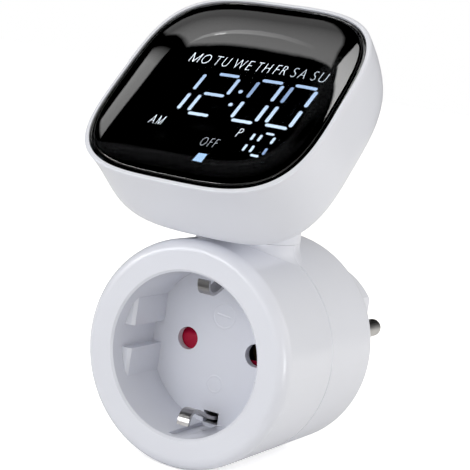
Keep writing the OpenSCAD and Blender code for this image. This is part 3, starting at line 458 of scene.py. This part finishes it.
def bar(name, start, end, radius, mat):
    """A round bar between two points in metres."""
    axis = Vector(end) - Vector(start)
    work = bmesh.new()
    bmesh.ops.create_cone(work, cap_ends=True, segments=BAR_SIDES, radius1=radius,
                          radius2=radius, depth=axis.length)
    turn = axis.to_track_quat("Z", "Y").to_matrix().to_4x4()
    work.transform(Matrix.Translation((Vector(start) + Vector(end)) / 2) @ turn)
    mesh = mesh_of(name, work)
    finish_mesh(mesh, mat)
    return put(name, mesh)


# ---------------------------------------------------------------- head skin

LENS_A, LENS_B, SQUARE = 28.1, 28.95, 3.57
HEAD_A, HEAD_B, HEAD_DEPTH = 29.3, 30.15, 31.1
RING_COUNT = 168
OUTER_RINGS, RIM_RINGS, INNER_RINGS, HOLLOW_RINGS = 64, 7, 40, 30
WALL = 2.0
TAPER_POWER, TAPER_ROOT = 5.8, 1.22
SAG_RISE, SAG_FALL = 7.9, 9.4
SQUARE_EASE = 0.2
BOWL_FINE, BOWL_LAST, BOWL_FIRST = 4001, 0.995, 0.03
OUTER_LEAST, INNER_LEAST = 0.02, 0.03
RIM_ROUND = 0.5
SEAT_STEPS = ((0.24, 0.0), (0.2, -0.04), (0.2, -2.06), (0.16, -2.1), (-0.7, -2.1))
UNDER_SEAT, UNDER_HOLLOW = 2.4, 2.6
NECK_SHARE, NECK_LOW_R, NECK_HIGH_R = 0.93, 12.5, 12
NECK_GAP, NECK_STRAIGHT, NECK_REACH = 0.05, 28.5, 1.0
NECK_CUTS = (("neck hollow", 31, 41.7, 7.8), ("neck bore", 26, 32, 3.3))
BUTTON_COUNT, BUTTON_PITCH, BUTTON_DEPTH, BUTTON_HOLE_R = 4, 11.0, 11.4, 3.5
BUTTON_HOLE_FROM, BUTTON_HOLE_TO = 18, 40


def taper(k):
    """The bowl's width share at a share of its depth."""
    return max(1.0 - k ** TAPER_POWER, 0.0) ** (1.0 / TAPER_ROOT)


def sag(k):
    """How far the bowl's middle lies up the head at a share of its depth."""
    return SAG_RISE * k - SAG_FALL * k * k


def bowl_steps(depth, width, count):
    """Depth shares at even steps along the bowl's side, from the base to just below the rim."""
    k = np.linspace(0.0, 1.0, BOWL_FINE)
    w = np.array([taper(v) for v in k])
    run = np.concatenate([[0.0], np.cumsum(np.hypot(np.diff(k) * depth, np.diff(w) * width))])
    at = np.linspace(run[-1] * BOWL_LAST, run[-1] * BOWL_FIRST, count)
    return np.interp(at, run, k)


def bowl_ring(k, wall, depth, least, count):
    """The bowl's outline a wall inside its skin, at a share of its depth."""
    w = max(taper(k), least)
    shape = outline((HEAD_A - wall) * w, (HEAD_B - wall) * w, SQUARE - SQUARE_EASE * k, count)
    return ring_at(shape, sag(k), -depth * k)


def head_skin():
    """The head's shell with its lens seat, its hollow, its neck and its button holes."""
    rings = [bowl_ring(k, 0.0, HEAD_DEPTH, OUTER_LEAST, RING_COUNT)
             for k in bowl_steps(HEAD_DEPTH, HEAD_A, OUTER_RINGS)]
    for share in np.linspace(0.0, 1.0, RIM_RINGS):
        turn = share * math.pi / 2
        back = RIM_ROUND * (1 - math.cos(turn))
        down = RIM_ROUND * (1 - math.sin(turn))
        rings.append(ring_at(outline(HEAD_A - back, HEAD_B - back, SQUARE, RING_COUNT),
                             sag(down / HEAD_DEPTH), -down))
    for grow, z in SEAT_STEPS:
        rings.append(ring_at(outline(LENS_A + grow, LENS_B + grow, SQUARE, RING_COUNT), 0.0, z))
    inner_depth = HEAD_DEPTH - WALL
    rings += [bowl_ring(k, WALL, inner_depth, INNER_LEAST, RING_COUNT)
              for k in bowl_steps(inner_depth, HEAD_A - WALL, INNER_RINGS)[::-1]
              if inner_depth * k >= UNDER_SEAT]
    skin = lofted("head_skin", rings, WHITE_SHELL)

    disc = circle(ROUND_SIDES)
    foot = HOUSING_TOP / MM + NECK_GAP
    neck_points = [Vector((NECK_LOW_R * x, SEAM / MM + NECK_LOW_R * y, z)) * MM
                   for z in (foot, NECK_STRAIGHT) for x, y in disc]
    neck_points += [HEAD @ (Vector((NECK_HIGH_R * x, sag(NECK_SHARE) + NECK_HIGH_R * y,
                                    -HEAD_DEPTH * NECK_SHARE + z)) * MM)
                    for z in (0.0, NECK_REACH) for x, y in disc]
    work = bmesh.new()
    for p in neck_points:
        work.verts.new(p)
    hull = bmesh.ops.convex_hull(work, input=work.verts)
    loose = {v for v in hull["geom_unused"] + hull["geom_interior"]
             if isinstance(v, bmesh.types.BMVert)}
    bmesh.ops.delete(work, geom=list(loose), context="VERTS")
    mesh = mesh_of("neck", work)
    finish_mesh(mesh, WHITE_SHELL)
    combine(skin, put("neck", mesh), "UNION")

    inner = [bowl_ring(k, WALL, inner_depth, INNER_LEAST, ROUND_SIDES)
             for k in bowl_steps(inner_depth, HEAD_A - WALL, HOLLOW_RINGS)
             if inner_depth * k > UNDER_HOLLOW]
    combine(skin, lofted("hollow", inner, WHITE_SHELL), "DIFFERENCE")
    for label, low, high, radius in NECK_CUTS:
        cut = bar(label, (0, SEAM, low * MM), (0, SEAM, high * MM), radius * MM, WHITE_SHELL)
        combine(skin, cut, "DIFFERENCE")
    for index in range(BUTTON_COUNT):
        x = (index - (BUTTON_COUNT - 1) / 2) * BUTTON_PITCH * MM
        ends = [HEAD @ Vector((x, y * MM, -BUTTON_DEPTH * MM))
                for y in (BUTTON_HOLE_FROM, BUTTON_HOLE_TO)]
        combine(skin, bar("button hole", *ends, BUTTON_HOLE_R * MM, WHITE_SHELL), "DIFFERENCE")
    finish_mesh(skin.data, WHITE_SHELL)
    return skin


HEAD_SKIN = head_skin()
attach(HEAD_SKIN, "head")
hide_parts("head_shell")


# ---------------------------------------------------------------- shutter

RAMP_X, RAMP_Z, RAMP_SLOPE, RAMP_SIZE = 9.6, 3.2, -24, 10


def shutter_piece():
    """The shutter with the deep ramp of its right wing, which leaves that hole dark at rest."""
    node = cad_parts["shutter"]
    work = bmesh.new()
    work.from_mesh(node.data)
    work.transform(node.matrix_world)
    bmesh.ops.remove_doubles(work, verts=work.verts, dist=1e-6)
    piece = put("ramped_shutter", mesh_of("ramped_shutter", work))
    low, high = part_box("shutter")
    box = bmesh.new()
    bmesh.ops.create_cube(box, size=1.0)
    box.transform(Matrix.Translation((RAMP_X * MM, (low.y + high.y) / 2, RAMP_Z * MM))
                  @ Matrix.Rotation(math.radians(RAMP_SLOPE), 4, "X")
                  @ Matrix.Diagonal((*[RAMP_SIZE * MM] * 3, 1.0)))
    combine(piece, put("ramp", mesh_of("ramp", box)), "DIFFERENCE")
    finish_mesh(piece.data, SHUTTER_RED)
    return piece


SHUTTER = shutter_piece()
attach(SHUTTER, "shutter")
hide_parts("shutter")


# ---------------------------------------------------------------- socket marks

MARK_FLOOR = FRONT + RECESS_DEPTH * MM
MARK_PROFILE = ((-0.28, -0.05), (-0.28, 0.0), (-0.16, 0.055), (0.0, 0.075), (0.16, 0.055),
                (0.28, 0.0), (0.28, -0.05))


def mark_mesh(path, closed):
    """A low rib on the socket's floor along (x, z, across x, across z) steps in millimetres."""
    count, steps = len(MARK_PROFILE), len(path)
    points = [((x + side * across_x) * MM, MARK_FLOOR - up * MM, (z + side * across_z) * MM)
              for x, z, across_x, across_z in path for side, up in MARK_PROFILE]
    faces = []
    for i in range(steps if closed else steps - 1):
        for j in range(count):
            i2, j2 = (i + 1) % steps, (j + 1) % count
            faces.append((i * count + j, i2 * count + j, i2 * count + j2, i * count + j2))
    if not closed:
        faces += [tuple(range(count))[::-1], tuple(range((steps - 1) * count, steps * count))]
    mesh = bpy.data.meshes.new("mark")
    mesh.from_pydata(points, [], faces)
    return mesh


def mark_ring(x, z, radius):
    return mark_mesh([(x + radius * c, z + radius * s, c, s) for c, s in circle(ROUND_SIDES)], True)


def mark_bar(x, z, length, slope):
    along = (math.cos(slope), -math.sin(slope))
    return mark_mesh([(x + end * along[0], z + end * along[1], -along[1], along[0])
                      for end in (-length / 2, length / 2)], False)


def joined(name, meshes, mat, place=HEAD):
    """One body from several meshes, put in place."""
    work = bmesh.new()
    for mesh in meshes:
        work.from_mesh(mesh)
        bpy.data.meshes.remove(mesh)
    work.transform(place)
    done = mesh_of(name, work)
    finish_mesh(done, mat)
    return put(name, done)


MARKS = joined("socket_marks", [mark_ring(-0.33, 7.55, 3.0), mark_bar(-0.33, 7.55, 3.9, 0.08),
                                mark_ring(-0.3, -9.4, 2.0)], WHITE_FRONT, Matrix.Identity(4))
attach(MARKS, "base")


# ---------------------------------------------------------------- lens

DOME_RISE, DOME_POWER, EDGE_DROP = 2.0, 5.5, 0.2
EDGE_FROM, EDGE_R, EDGE_TURN = 1.25, 0.75, 78
EDGE_STEPS = ((0.66, -0.72), (0.54, -0.74), (0.5, -0.5), (0.46, -0.36), (0.4, -0.3),
              (0.3, -0.3), (0.26, -0.305), (0.0, -0.38), (-0.04, -0.40), (-0.11, -0.47),
              (-0.15, -0.55), (-0.17, -0.65), (-0.17, -2.05), (-0.12, -2.1), (27.5, -2.1))


def dome(share):
    """The pane's height at a share of the way from its middle to its edge."""
    return DOME_RISE * (1 - share ** DOME_POWER) - EDGE_DROP


def lens_glass():
    """A smoked pane with a flat middle, a turned-down edge, a groove and a lip in its seat."""
    steps = [(inset, dome(1 - inset / LENS_A))
             for inset in np.concatenate([[27.4], np.linspace(26.0, 11.0, 8),
                                          np.linspace(10.0, EDGE_FROM, 28)])]
    share = 1 - EDGE_FROM / LENS_A
    first = math.atan(DOME_RISE * DOME_POWER * share ** (DOME_POWER - 1) / LENS_A)
    steps += [(EDGE_FROM - EDGE_R * (math.sin(turn) - math.sin(first)),
               dome(share) - EDGE_R * (math.cos(first) - math.cos(turn)))
              for turn in np.linspace(first, math.radians(EDGE_TURN), 9)[1:]]
    steps += EDGE_STEPS
    rings = [ring_at(outline(LENS_A - inset, LENS_B - inset, SQUARE, RING_COUNT), 0.0, z)
             for inset, z in steps]
    return lofted("smoked_lens", rings, SMOKED_GLASS, 28.0)


LENS = lens_glass()
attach(LENS, "head")
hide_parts("lens")


# ---------------------------------------------------------------- display print

CORNER_SHARE, CORNER_STEPS = 0.46, 6


def print_tree():
    """Rounded strokes on the points of a mesh, each turned by the point's own angle."""
    tree = bpy.data.node_groups.new("printed strokes", "GeometryNodeTree")
    tree.interface.new_socket(name="Geometry", in_out="INPUT", socket_type="NodeSocketGeometry")
    for label in ("Length", "Width", "Thickness"):
        tree.interface.new_socket(name=label, in_out="INPUT", socket_type="NodeSocketFloat")
    tree.interface.new_socket(name="Material", in_out="INPUT", socket_type="NodeSocketMaterial")
    tree.interface.new_socket(name="Geometry", in_out="OUTPUT", socket_type="NodeSocketGeometry")
    gin = tree.nodes.new("NodeGroupInput")
    gout = tree.nodes.new("NodeGroupOutput")
    shape = tree.nodes.new("GeometryNodeCurvePrimitiveQuadrilateral")
    link(tree, gin.outputs["Length"], shape.inputs["Width"])
    link(tree, gin.outputs["Width"], shape.inputs["Height"])
    corner = calculate(tree, "MULTIPLY")
    corner.inputs[1].default_value = CORNER_SHARE
    link(tree, gin.outputs["Width"], corner.inputs[0])
    rounded = tree.nodes.new("GeometryNodeFilletCurve")
    rounded.mode = "POLY"
    rounded.inputs["Count"].default_value = CORNER_STEPS
    link(tree, shape.outputs["Curve"], rounded.inputs["Curve"])
    link(tree, corner.outputs[0], rounded.inputs["Radius"])
    top = tree.nodes.new("ShaderNodeCombineXYZ")
    link(tree, gin.outputs["Thickness"], top.inputs["Z"])
    spine = tree.nodes.new("GeometryNodeCurvePrimitiveLine")
    link(tree, top.outputs[0], spine.inputs["End"])
    stroke = tree.nodes.new("GeometryNodeCurveToMesh")
    stroke.inputs["Fill Caps"].default_value = True
    link(tree, spine.outputs["Curve"], stroke.inputs["Curve"])
    link(tree, rounded.outputs["Curve"], stroke.inputs["Profile Curve"])
    angle = tree.nodes.new("GeometryNodeInputNamedAttribute")
    angle.data_type = "FLOAT"
    angle.inputs["Name"].default_value = "turn"
    turn = tree.nodes.new("ShaderNodeCombineXYZ")
    link(tree, angle.outputs["Attribute"], turn.inputs["Z"])
    rotation = tree.nodes.new("FunctionNodeEulerToRotation")
    link(tree, turn.outputs[0], rotation.inputs[0])
    spread = tree.nodes.new("GeometryNodeInstanceOnPoints")
    link(tree, gin.outputs["Geometry"], spread.inputs["Points"])
    link(tree, stroke.outputs["Mesh"], spread.inputs["Instance"])
    link(tree, rotation.outputs[0], spread.inputs["Rotation"])
    real = tree.nodes.new("GeometryNodeRealizeInstances")
    link(tree, spread.outputs["Instances"], real.inputs["Geometry"])
    paint = tree.nodes.new("GeometryNodeSetMaterial")
    link(tree, real.outputs["Geometry"], paint.inputs["Geometry"])
    link(tree, gin.outputs["Material"], paint.inputs["Material"])
    link(tree, paint.outputs["Geometry"], gout.inputs["Geometry"])
    return tree


PRINT_TREE = print_tree()
PRINT_Z, PRINT_THICK = -2.455, 0.02


def strokes(name, marks, length, width, mat):
    """Bodies of the strokes whose middles and angles are given on the display, in millimetres."""
    mesh = bpy.data.meshes.new(name)
    mesh.from_pydata([(x * MM, y * MM, PRINT_Z * MM) for x, y, _ in marks], [], [])
    turn = mesh.attributes.new("turn", "FLOAT", "POINT")
    turn.data.foreach_set("value", [a for _, _, a in marks])
    piece = put(name, mesh)
    change = piece.modifiers.new("strokes", "NODES")
    change.node_group = PRINT_TREE
    values = {"Length": length * MM, "Width": width * MM, "Thickness": PRINT_THICK * MM,
              "Material": mat}
    for item in PRINT_TREE.interface.items_tree:
        if item.in_out == "INPUT" and item.name in values:
            change[item.identifier] = values[item.name]
    piece.data.update()
    done = evaluated_mesh(piece)
    bpy.data.objects.remove(piece)
    return done


SLANT, LEVEL = 0.1, 0.02
UPRIGHT = math.pi / 2 - SLANT * 0.9
ROW_MIDDLE = -2.0


def on_display(x, y):
    """A place on the display from its place in upright rows."""
    return x + SLANT * (y - ROW_MIDDLE), y + LEVEL * x


def digit(centre, middle, step, rise, letters):
    """Stroke middles and angles of one figure, seven strokes named a to g."""
    half = step / 2
    spots = {"a": (0, rise, 0), "g": (0, 0, 0), "d": (0, -rise, 0),
             "f": (-half, rise / 2, 1), "b": (half, rise / 2, 1),
             "e": (-half, -rise / 2, 1), "c": (half, -rise / 2, 1)}
    marks = []
    for letter in letters:
        dx, dy, upright = spots[letter]
        x, y = on_display(centre + dx, middle + dy)
        marks.append((x, y, UPRIGHT if upright else LEVEL))
    return marks


BIG = dict(middle=ROW_MIDDLE, step=6.1, rise=6.6)
LAST = dict(middle=-1.88, step=5.7, rise=6.5)
SMALL = dict(middle=-14.07, step=3.1, rise=3.3)
BIG_STROKE, SMALL_STROKE = (5.15, 0.88), (1.92, 0.62)
HOUR_TENS, HOUR, MINUTE_TENS, MINUTE = -11.37, -2.52, 8.67, 16.97
SECOND_TENS, SECOND = 12.19, 17.0
lit_big = digit(HOUR_TENS, letters="bc", **BIG) + digit(HOUR, letters="abged", **BIG) \
    + digit(MINUTE_TENS, letters="abcde", **BIG) + digit(MINUTE, letters="abcde", **LAST)
dim_big = digit(MINUTE_TENS, letters="f", **BIG) + digit(MINUTE, letters="f", **LAST)
lit_small = digit(SECOND_TENS, letters="bc", **SMALL) + digit(SECOND, letters="abdef", **SMALL)
dim_small = digit(SECOND, letters="c", **SMALL)

TEXT_DEPTH, TEXT_OFFSET = 0.02, -0.026
TEXT_RISE = 0.01


def word(text, left, right, base, tall, lean):
    """Printed text set between two ends on its base line, as a closed flat body."""
    curve = bpy.data.curves.new(text, "FONT")
    curve.body = text
    curve.size = 1.0
    curve.extrude = TEXT_DEPTH
    curve.offset = TEXT_OFFSET
    piece = put(text, curve)
    mesh = evaluated_mesh(piece)
    bpy.data.objects.remove(piece)
    work = bmesh.new()
    work.from_mesh(mesh)
    bpy.data.meshes.remove(mesh)
    bmesh.ops.remove_doubles(work, verts=work.verts, dist=1e-5)
    xs = [v.co.x for v in work.verts]
    ys = [v.co.y for v in work.verts]
    low_x, low_y = min(xs), min(ys)
    wide, high = max(xs) - low_x, max(ys) - low_y
    half = PRINT_THICK / 2
    for v in work.verts:
        x = left + (v.co.x - low_x) / wide * (right - left)
        up = (v.co.y - low_y) / high * tall
        z = PRINT_Z + half + v.co.z / TEXT_DEPTH * half
        v.co = Vector((x + lean * up, base + up + TEXT_RISE * (x - left), z)) * MM
    return mesh_of(text, work)


def flat_shape(points):
    """A thin body over an outline on the display."""
    count = len(points)
    mesh = bpy.data.meshes.new("flat shape")
    low = [(x * MM, y * MM, PRINT_Z * MM) for x, y in points]
    high = [(x * MM, y * MM, (PRINT_Z + PRINT_THICK) * MM) for x, y in points]
    ends = [tuple(range(count))[::-1], tuple(range(count, 2 * count))]
    sides = [(i, (i + 1) % count, count + (i + 1) % count, count + i) for i in range(count)]
    mesh.from_pydata(low + high, [], ends + sides)
    return mesh


def letter_m(left, right, base, tall, lean):
    """An M with upright sides and a middle that reaches its base line."""
    wide = right - left
    half, side, foot, deep = wide / 2, 0.07 * wide, 0.045 * wide, 0.13 * tall
    path = [(0, 0), (0, tall), (side, tall), (half, deep), (wide - side, tall), (wide, tall),
            (wide, 0), (wide - side, 0), (wide - side, tall - deep), (half + foot, 0),
            (half - foot, 0), (side, tall - deep), (side, 0)]
    return flat_shape([(left + x + lean * y, base + y + TEXT_RISE * x) for x, y in path])


def dot(x, y, radius):
    return flat_shape([(x + radius * c, y + radius * s) for c, s in circle(24)])


DAY_TALL, DAY_BASE, DAY_RISE, DAY_LEAN = 3.0, 7.15, 0.0105, 0.10
HALF_DAY_LEAN, OFF_TALL, OFF_LEAN = 0.12, 2.5, 0.13
LIT_DAYS = [("M", -14.34, -11.98), ("O", -11.31, -9.22), ("T", -7.97, -6.44),
            ("U", -5.70, -4.14), ("W", -2.82, 0.05), ("E", 0.79, 1.87), ("T", 3.10, 4.34),
            ("H", 5.18, 6.67), ("F", 7.94, 8.90), ("R", 9.60, 10.91)]
DIM_DAYS = [("S", 12.23, 13.38), ("A", 14.14, 15.80), ("S", 17.19, 18.22), ("U", 19.03, 20.58)]


def letter(text, *place):
    """One printed letter, from the font but for the M."""
    return letter_m(*place) if text == "M" else word(text, *place)


def day_letter(text, left, right):
    return letter(text, left, right, DAY_BASE + DAY_RISE * left, DAY_TALL, DAY_LEAN)


lit_parts = [strokes("lit strokes", lit_big, *BIG_STROKE, LIT_WHITE),
             strokes("lit small strokes", lit_small, *SMALL_STROKE, LIT_WHITE),
             dot(3.31, 0.19, 0.54), dot(2.93, -4.13, 0.52)]
lit_words = [day_letter(*entry) for entry in LIT_DAYS]
lit_words += [letter("A", -13.85, -12.45, -13.65, 2.6, HALF_DAY_LEAN),
              letter("M", -11.85, -10.5, -13.63, 2.65, HALF_DAY_LEAN),
              letter("P", 8.68, 9.6, -13.0, 2.55, HALF_DAY_LEAN)]
dim_parts = [strokes("dim strokes", dim_big, *BIG_STROKE, DIM_WHITE),
             strokes("dim small strokes", dim_small, *SMALL_STROKE, DIM_WHITE)]
dim_words = [day_letter(*entry) for entry in DIM_DAYS]
dim_words += [letter("O", 1.55, 2.95, -17.2, OFF_TALL, OFF_LEAN),
              letter("F", 3.6, 4.3, -17.18, OFF_TALL, OFF_LEAN),
              letter("F", 4.9, 5.6, -17.17, OFF_TALL, OFF_LEAN)]
LIT = joined("lit_print", lit_parts, LIT_WHITE)
DIM = joined("dim_print", dim_parts, DIM_WHITE)
LIT_TEXT = joined("lit_words", lit_words, LIT_PLAIN)
DIM_TEXT = joined("dim_words", dim_words, DIM_PLAIN)
SQUARE_CORNERS = [(2.28, -21.47), (4.63, -21.5), (4.92, -19.17), (2.81, -19.28)]
SQUARE_MARK = joined("lit_square", [flat_shape(SQUARE_CORNERS)], LIT_BLUE)

MASK_A, MASK_B = 27.0, 27.85
MASK_DEPTHS = (-2.49, -2.46)


def mask_film():
    """The black print behind the lens, around and behind the lit figures."""
    rings = [ring_at(outline(MASK_A, MASK_B, SQUARE, 120), 0.0, z) for z in MASK_DEPTHS]
    return lofted("display_mask", rings, DISPLAY_BLACK)


MASK = mask_film()
for piece in (LIT, DIM, LIT_TEXT, DIM_TEXT, SQUARE_MARK, MASK):
    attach(piece, "head")


# ---------------------------------------------------------------- camera

FRAME_PIXELS, FOCAL_PIXELS, SENSOR = 470, 1460.53, 36.0
CAMERA_PLACE = (0.16339, FRONT - 0.28617, 0.0732)
YAW, PITCH, ROLL = 28.47, 7.77, 8.52


def camera_turn(yaw, pitch, roll):
    """World turn of a camera that looks along +Y, then is turned by yaw, pitch and roll."""
    y, p, r = (math.radians(a) for a in (yaw, pitch, roll))
    base = Matrix(((1, 0, 0), (0, 0, -1), (0, 1, 0)))
    cos, sin = math.cos, math.sin
    about_y = Matrix(((cos(y), 0, sin(y)), (0, 1, 0), (-sin(y), 0, cos(y))))
    about_x = Matrix(((1, 0, 0), (0, cos(p), -sin(p)), (0, sin(p), cos(p))))
    about_z = Matrix(((cos(r), -sin(r), 0), (sin(r), cos(r), 0), (0, 0, 1)))
    turn = about_z @ about_x @ about_y @ base
    return turn.transposed() @ Matrix(((1, 0, 0), (0, -1, 0), (0, 0, -1)))


camera_data = bpy.data.cameras.new("studio camera")
camera = put("studio camera", camera_data)
camera_data.sensor_width = SENSOR
camera_data.lens = FOCAL_PIXELS / FRAME_PIXELS * SENSOR
camera_data.shift_x = 0.00885
camera_data.shift_y = 0.0108
camera_data.clip_start = 0.01
camera.matrix_world = Matrix.Translation(CAMERA_PLACE) \
    @ camera_turn(YAW, PITCH, ROLL).to_4x4()
scene.camera = camera


# ---------------------------------------------------------------- studio

MIDDLE = (0.0, FRONT + 0.02, 0.03)
SOFT_STRENGTH, FLOOR_LIFT, FLOOR_HALF = 0.745, 0.6, 3


def area_lamp(name, place, size, power, colour=(1.0, 1.0, 1.0)):
    """A softbox aimed at the object's middle, unseen in mirrors."""
    data = bpy.data.lights.new(name, "AREA")
    data.shape = "RECTANGLE"
    data.size, data.size_y = size
    data.energy = power
    data.color = colour
    lamp = put(name, data)
    lamp.visible_glossy = False
    lamp.matrix_world = Matrix.Translation(place) \
        @ (Vector(MIDDLE) - Vector(place)).to_track_quat("-Z", "Y").to_matrix().to_4x4()


def lit_world(soft_strength):
    """Even soft light, and white behind everything for the camera, in mirrors and through glass."""
    world = bpy.data.worlds.new("studio world")
    scene.world = world
    world.use_nodes = True
    tree = world.node_tree
    tree.nodes.clear()
    out = tree.nodes.new("ShaderNodeOutputWorld")
    path = tree.nodes.new("ShaderNodeLightPath")
    mirrored = calculate(tree, "MAXIMUM")
    link(tree, path.outputs["Is Glossy Ray"], mirrored.inputs[0])
    link(tree, path.outputs["Is Transmission Ray"], mirrored.inputs[1])
    seen = calculate(tree, "MAXIMUM")
    link(tree, path.outputs["Is Camera Ray"], seen.inputs[0])
    link(tree, mirrored.outputs[0], seen.inputs[1])
    soft = tree.nodes.new("ShaderNodeBackground")
    soft.inputs["Color"].default_value = (1.0, 0.98, 0.91, 1.0)
    soft.inputs["Strength"].default_value = soft_strength
    white = tree.nodes.new("ShaderNodeBackground")
    white.inputs["Color"].default_value = (1.0, 1.0, 1.0, 1.0)
    white.inputs["Strength"].default_value = 1.0
    mix = tree.nodes.new("ShaderNodeMixShader")
    link(tree, seen.outputs[0], mix.inputs["Fac"])
    link(tree, soft.outputs[0], mix.inputs[1])
    link(tree, white.outputs[0], mix.inputs[2])
    link(tree, mix.outputs[0], out.inputs["Surface"])


def glow_card(name, corners, near, far=None, near_y=0.0, far_y=1.0, soft=0.0, levels=None):
    """A lit or black card round the object, seen only in mirrors.

    Its brightness goes from near to far between two distances behind the object's front.
    A soft card fades out over a band along its edge, a share of its size wide on both sides.
    Levels are shares of the brightness at the corners.
    """
    far = near if far is None else far
    count = len(corners)
    corners = [Vector(corner) for corner in corners]
    middle = sum(corners, Vector()) / count
    points = [middle + (corner - middle) * (1 - soft) for corner in corners]
    faces = [tuple(range(count))]
    if soft:
        points += [middle + (corner - middle) * (1 + soft) for corner in corners]
        faces += [(i, count + i, count + (i + 1) % count, (i + 1) % count)
                  for i in range(count)]
    mesh = bpy.data.meshes.new(name)
    mesh.from_pydata([(x * MM, FRONT + y * MM, z * MM) for x, y, z in points], [], faces)
    glow = mesh.attributes.new("glow", "FLOAT", "POINT")
    inner = list(levels or [1.0] * count)
    glow.data.foreach_set("value", inner + [0.0] * (len(points) - count))
    mat = bpy.data.materials.new(name)
    mat.use_nodes = True
    tree = mat.node_tree
    tree.nodes.clear()
    out = tree.nodes.new("ShaderNodeOutputMaterial")
    light = tree.nodes.new("ShaderNodeEmission")
    coord = tree.nodes.new("ShaderNodeTexCoord")
    split = tree.nodes.new("ShaderNodeSeparateXYZ")
    fade = tree.nodes.new("ShaderNodeMapRange")
    fade.inputs["From Min"].default_value = FRONT + near_y * MM
    fade.inputs["From Max"].default_value = FRONT + far_y * MM
    fade.inputs["To Min"].default_value = near
    fade.inputs["To Max"].default_value = far
    link(tree, coord.outputs["Object"], split.inputs[0])
    link(tree, split.outputs["Y"], fade.inputs["Value"])
    edge = tree.nodes.new("ShaderNodeAttribute")
    edge.attribute_name = "glow"
    shown = calculate(tree, "MULTIPLY")
    link(tree, fade.outputs["Result"], shown.inputs[0])
    link(tree, edge.outputs["Fac"], shown.inputs[1])
    link(tree, shown.outputs[0], light.inputs["Strength"])
    link(tree, light.outputs[0], out.inputs["Surface"])
    mesh.materials.append(mat)
    card = put(name, mesh)
    card.visible_camera = False
    card.visible_diffuse = False
    card.visible_shadow = False
    card.visible_volume_scatter = False


def pale_floor():
    """A plain white floor that keeps the object's shadow."""
    low = CAD_BOX[0][2]
    mesh = bpy.data.meshes.new("studio floor")
    mesh.from_pydata([(x * FLOOR_HALF, y * FLOOR_HALF, low)
                      for x, y in ((-1, -1), (1, -1), (1, 1), (-1, 1))], [], [(0, 1, 2, 3)])
    mat, tree, shader = new_material("pale floor")
    coord = tree.nodes.new("ShaderNodeTexCoord")
    fibre = noise(tree, coord, 400.0)
    link(tree, ranged(tree, fibre.outputs["Fac"], 0.8, 0.9), shader.inputs["Roughness"])
    shader.inputs["Base Color"].default_value = (0.86, 0.86, 0.87, 1.0)
    shader.inputs["Specular IOR Level"].default_value = 0.1
    path = tree.nodes.new("ShaderNodeLightPath")
    lift = calculate(tree, "MULTIPLY")
    lift.inputs[1].default_value = FLOOR_LIFT
    link(tree, path.outputs["Is Camera Ray"], lift.inputs[0])
    shader.inputs["Emission Color"].default_value = (1.0, 1.0, 1.0, 1.0)
    link(tree, lift.outputs[0], shader.inputs["Emission Strength"])
    mesh.materials.append(mat)
    put("studio floor", mesh)


def overhead(height, corners):
    return [(x, y, height) for x, y in corners]


lit_world(SOFT_STRENGTH)
pale_floor()
area_lamp("high front softbox", (-0.35, -0.75, 0.45), (0.4, 0.4), 1.25)
area_lamp("front softbox", (-0.15, -0.9, 0.14), (0.5, 0.4), 1.25, (0.86, 0.91, 1.0))
area_lamp("left softbox", (-0.5, -0.8, 0.1), (0.4, 0.4), 0.25)
area_lamp("back right softbox", (0.6, 0.3, 0.35), (0.4, 0.4), 1.7)


glow_card("top softbox card", overhead(350, [
    (-200, 17), (-177, 13), (-150, 14), (-119, 12), (-101, 9), (-74, 3), (-52, -3), (-55, 20),
    (-52, 42), (-58, 65), (-77, 96), (-99, 127), (-117, 140), (-352, 140), (-333, 120),
    (-303, 91), (-246, 55), (-219, 34)]), 2.5, 0.7, 12, 88, 0.05)
glow_card("left softbox card", overhead(349.5, [(-245, 24), (-337, 79), (-432, 19), (-385, -80),
                                                (-330, -38), (-290, -8)]), 2.5, soft=0.12)
glow_card("right softbox card", overhead(349, [
    (-15, 62), (8, 62), (36, 20), (42, -10), (76, -40), (41, -38), (-13, -19), (-34, -1),
    (-28, 16), (-19, 36)]), 4.5, 9.0, 50, -30, 0.06)
glow_card("strip light card", overhead(348.8, [
    (-201, 19), (-190, 21), (-181, 23), (-173, 25), (-160, 29), (-149, 31), (-138, 30.5),
    (-122, 25), (-103, 19), (-103, 24), (-122, 31), (-138, 37.5), (-149, 39), (-160, 36),
    (-173, 31), (-182, 28), (-191, 25)]), 4.2, levels=[
        0.7, 0.85, 1, 1, 0.95, 0.85, 0.75, 0.65, 0.56, 0.56, 0.6, 0.65, 0.75, 0.85, 0.95, 1,
        0.85])
glow_card("bare lamp card",
          overhead(348.6, [(-177, 24.5), (-169, 26.5), (-168, 29), (-176, 27)]), 9.0)
glow_card("front softbox card", [(-760, -800, 120), (-300, -1000, 120), (-300, -1000, 330),
                                 (-760, -800, 330)], 9.0)
glow_card("left front softbox card", [(-770, -790, 120), (-880, -460, 120), (-880, -460, 330),
                                      (-770, -790, 330)], 9.0)
glow_card("low right card",
          [(200, -130, -26), (200, -50, -26), (200, -50, 25), (200, -130, 25)], 8.0)
glow_card("front floor flag", overhead(-20, [(-500, -900), (60, -900), (60, -15), (-500, -15)]),
          0.1, 0.35, -15, -300)
glow_card("top black flag",
          overhead(360, [(-1100, -1100), (500, -1100), (500, 800), (-1100, 800)]), 0.0)
glow_card("back black flag",
          [(-1100, 800, -60), (500, 800, -60), (500, 800, 360), (-1100, 800, 360)], 0.0)
glow_card("left black flag",
          [(-1100, -350, -60), (-1100, 800, -60), (-1100, 800, 360), (-1100, -350, 360)], 0.0)
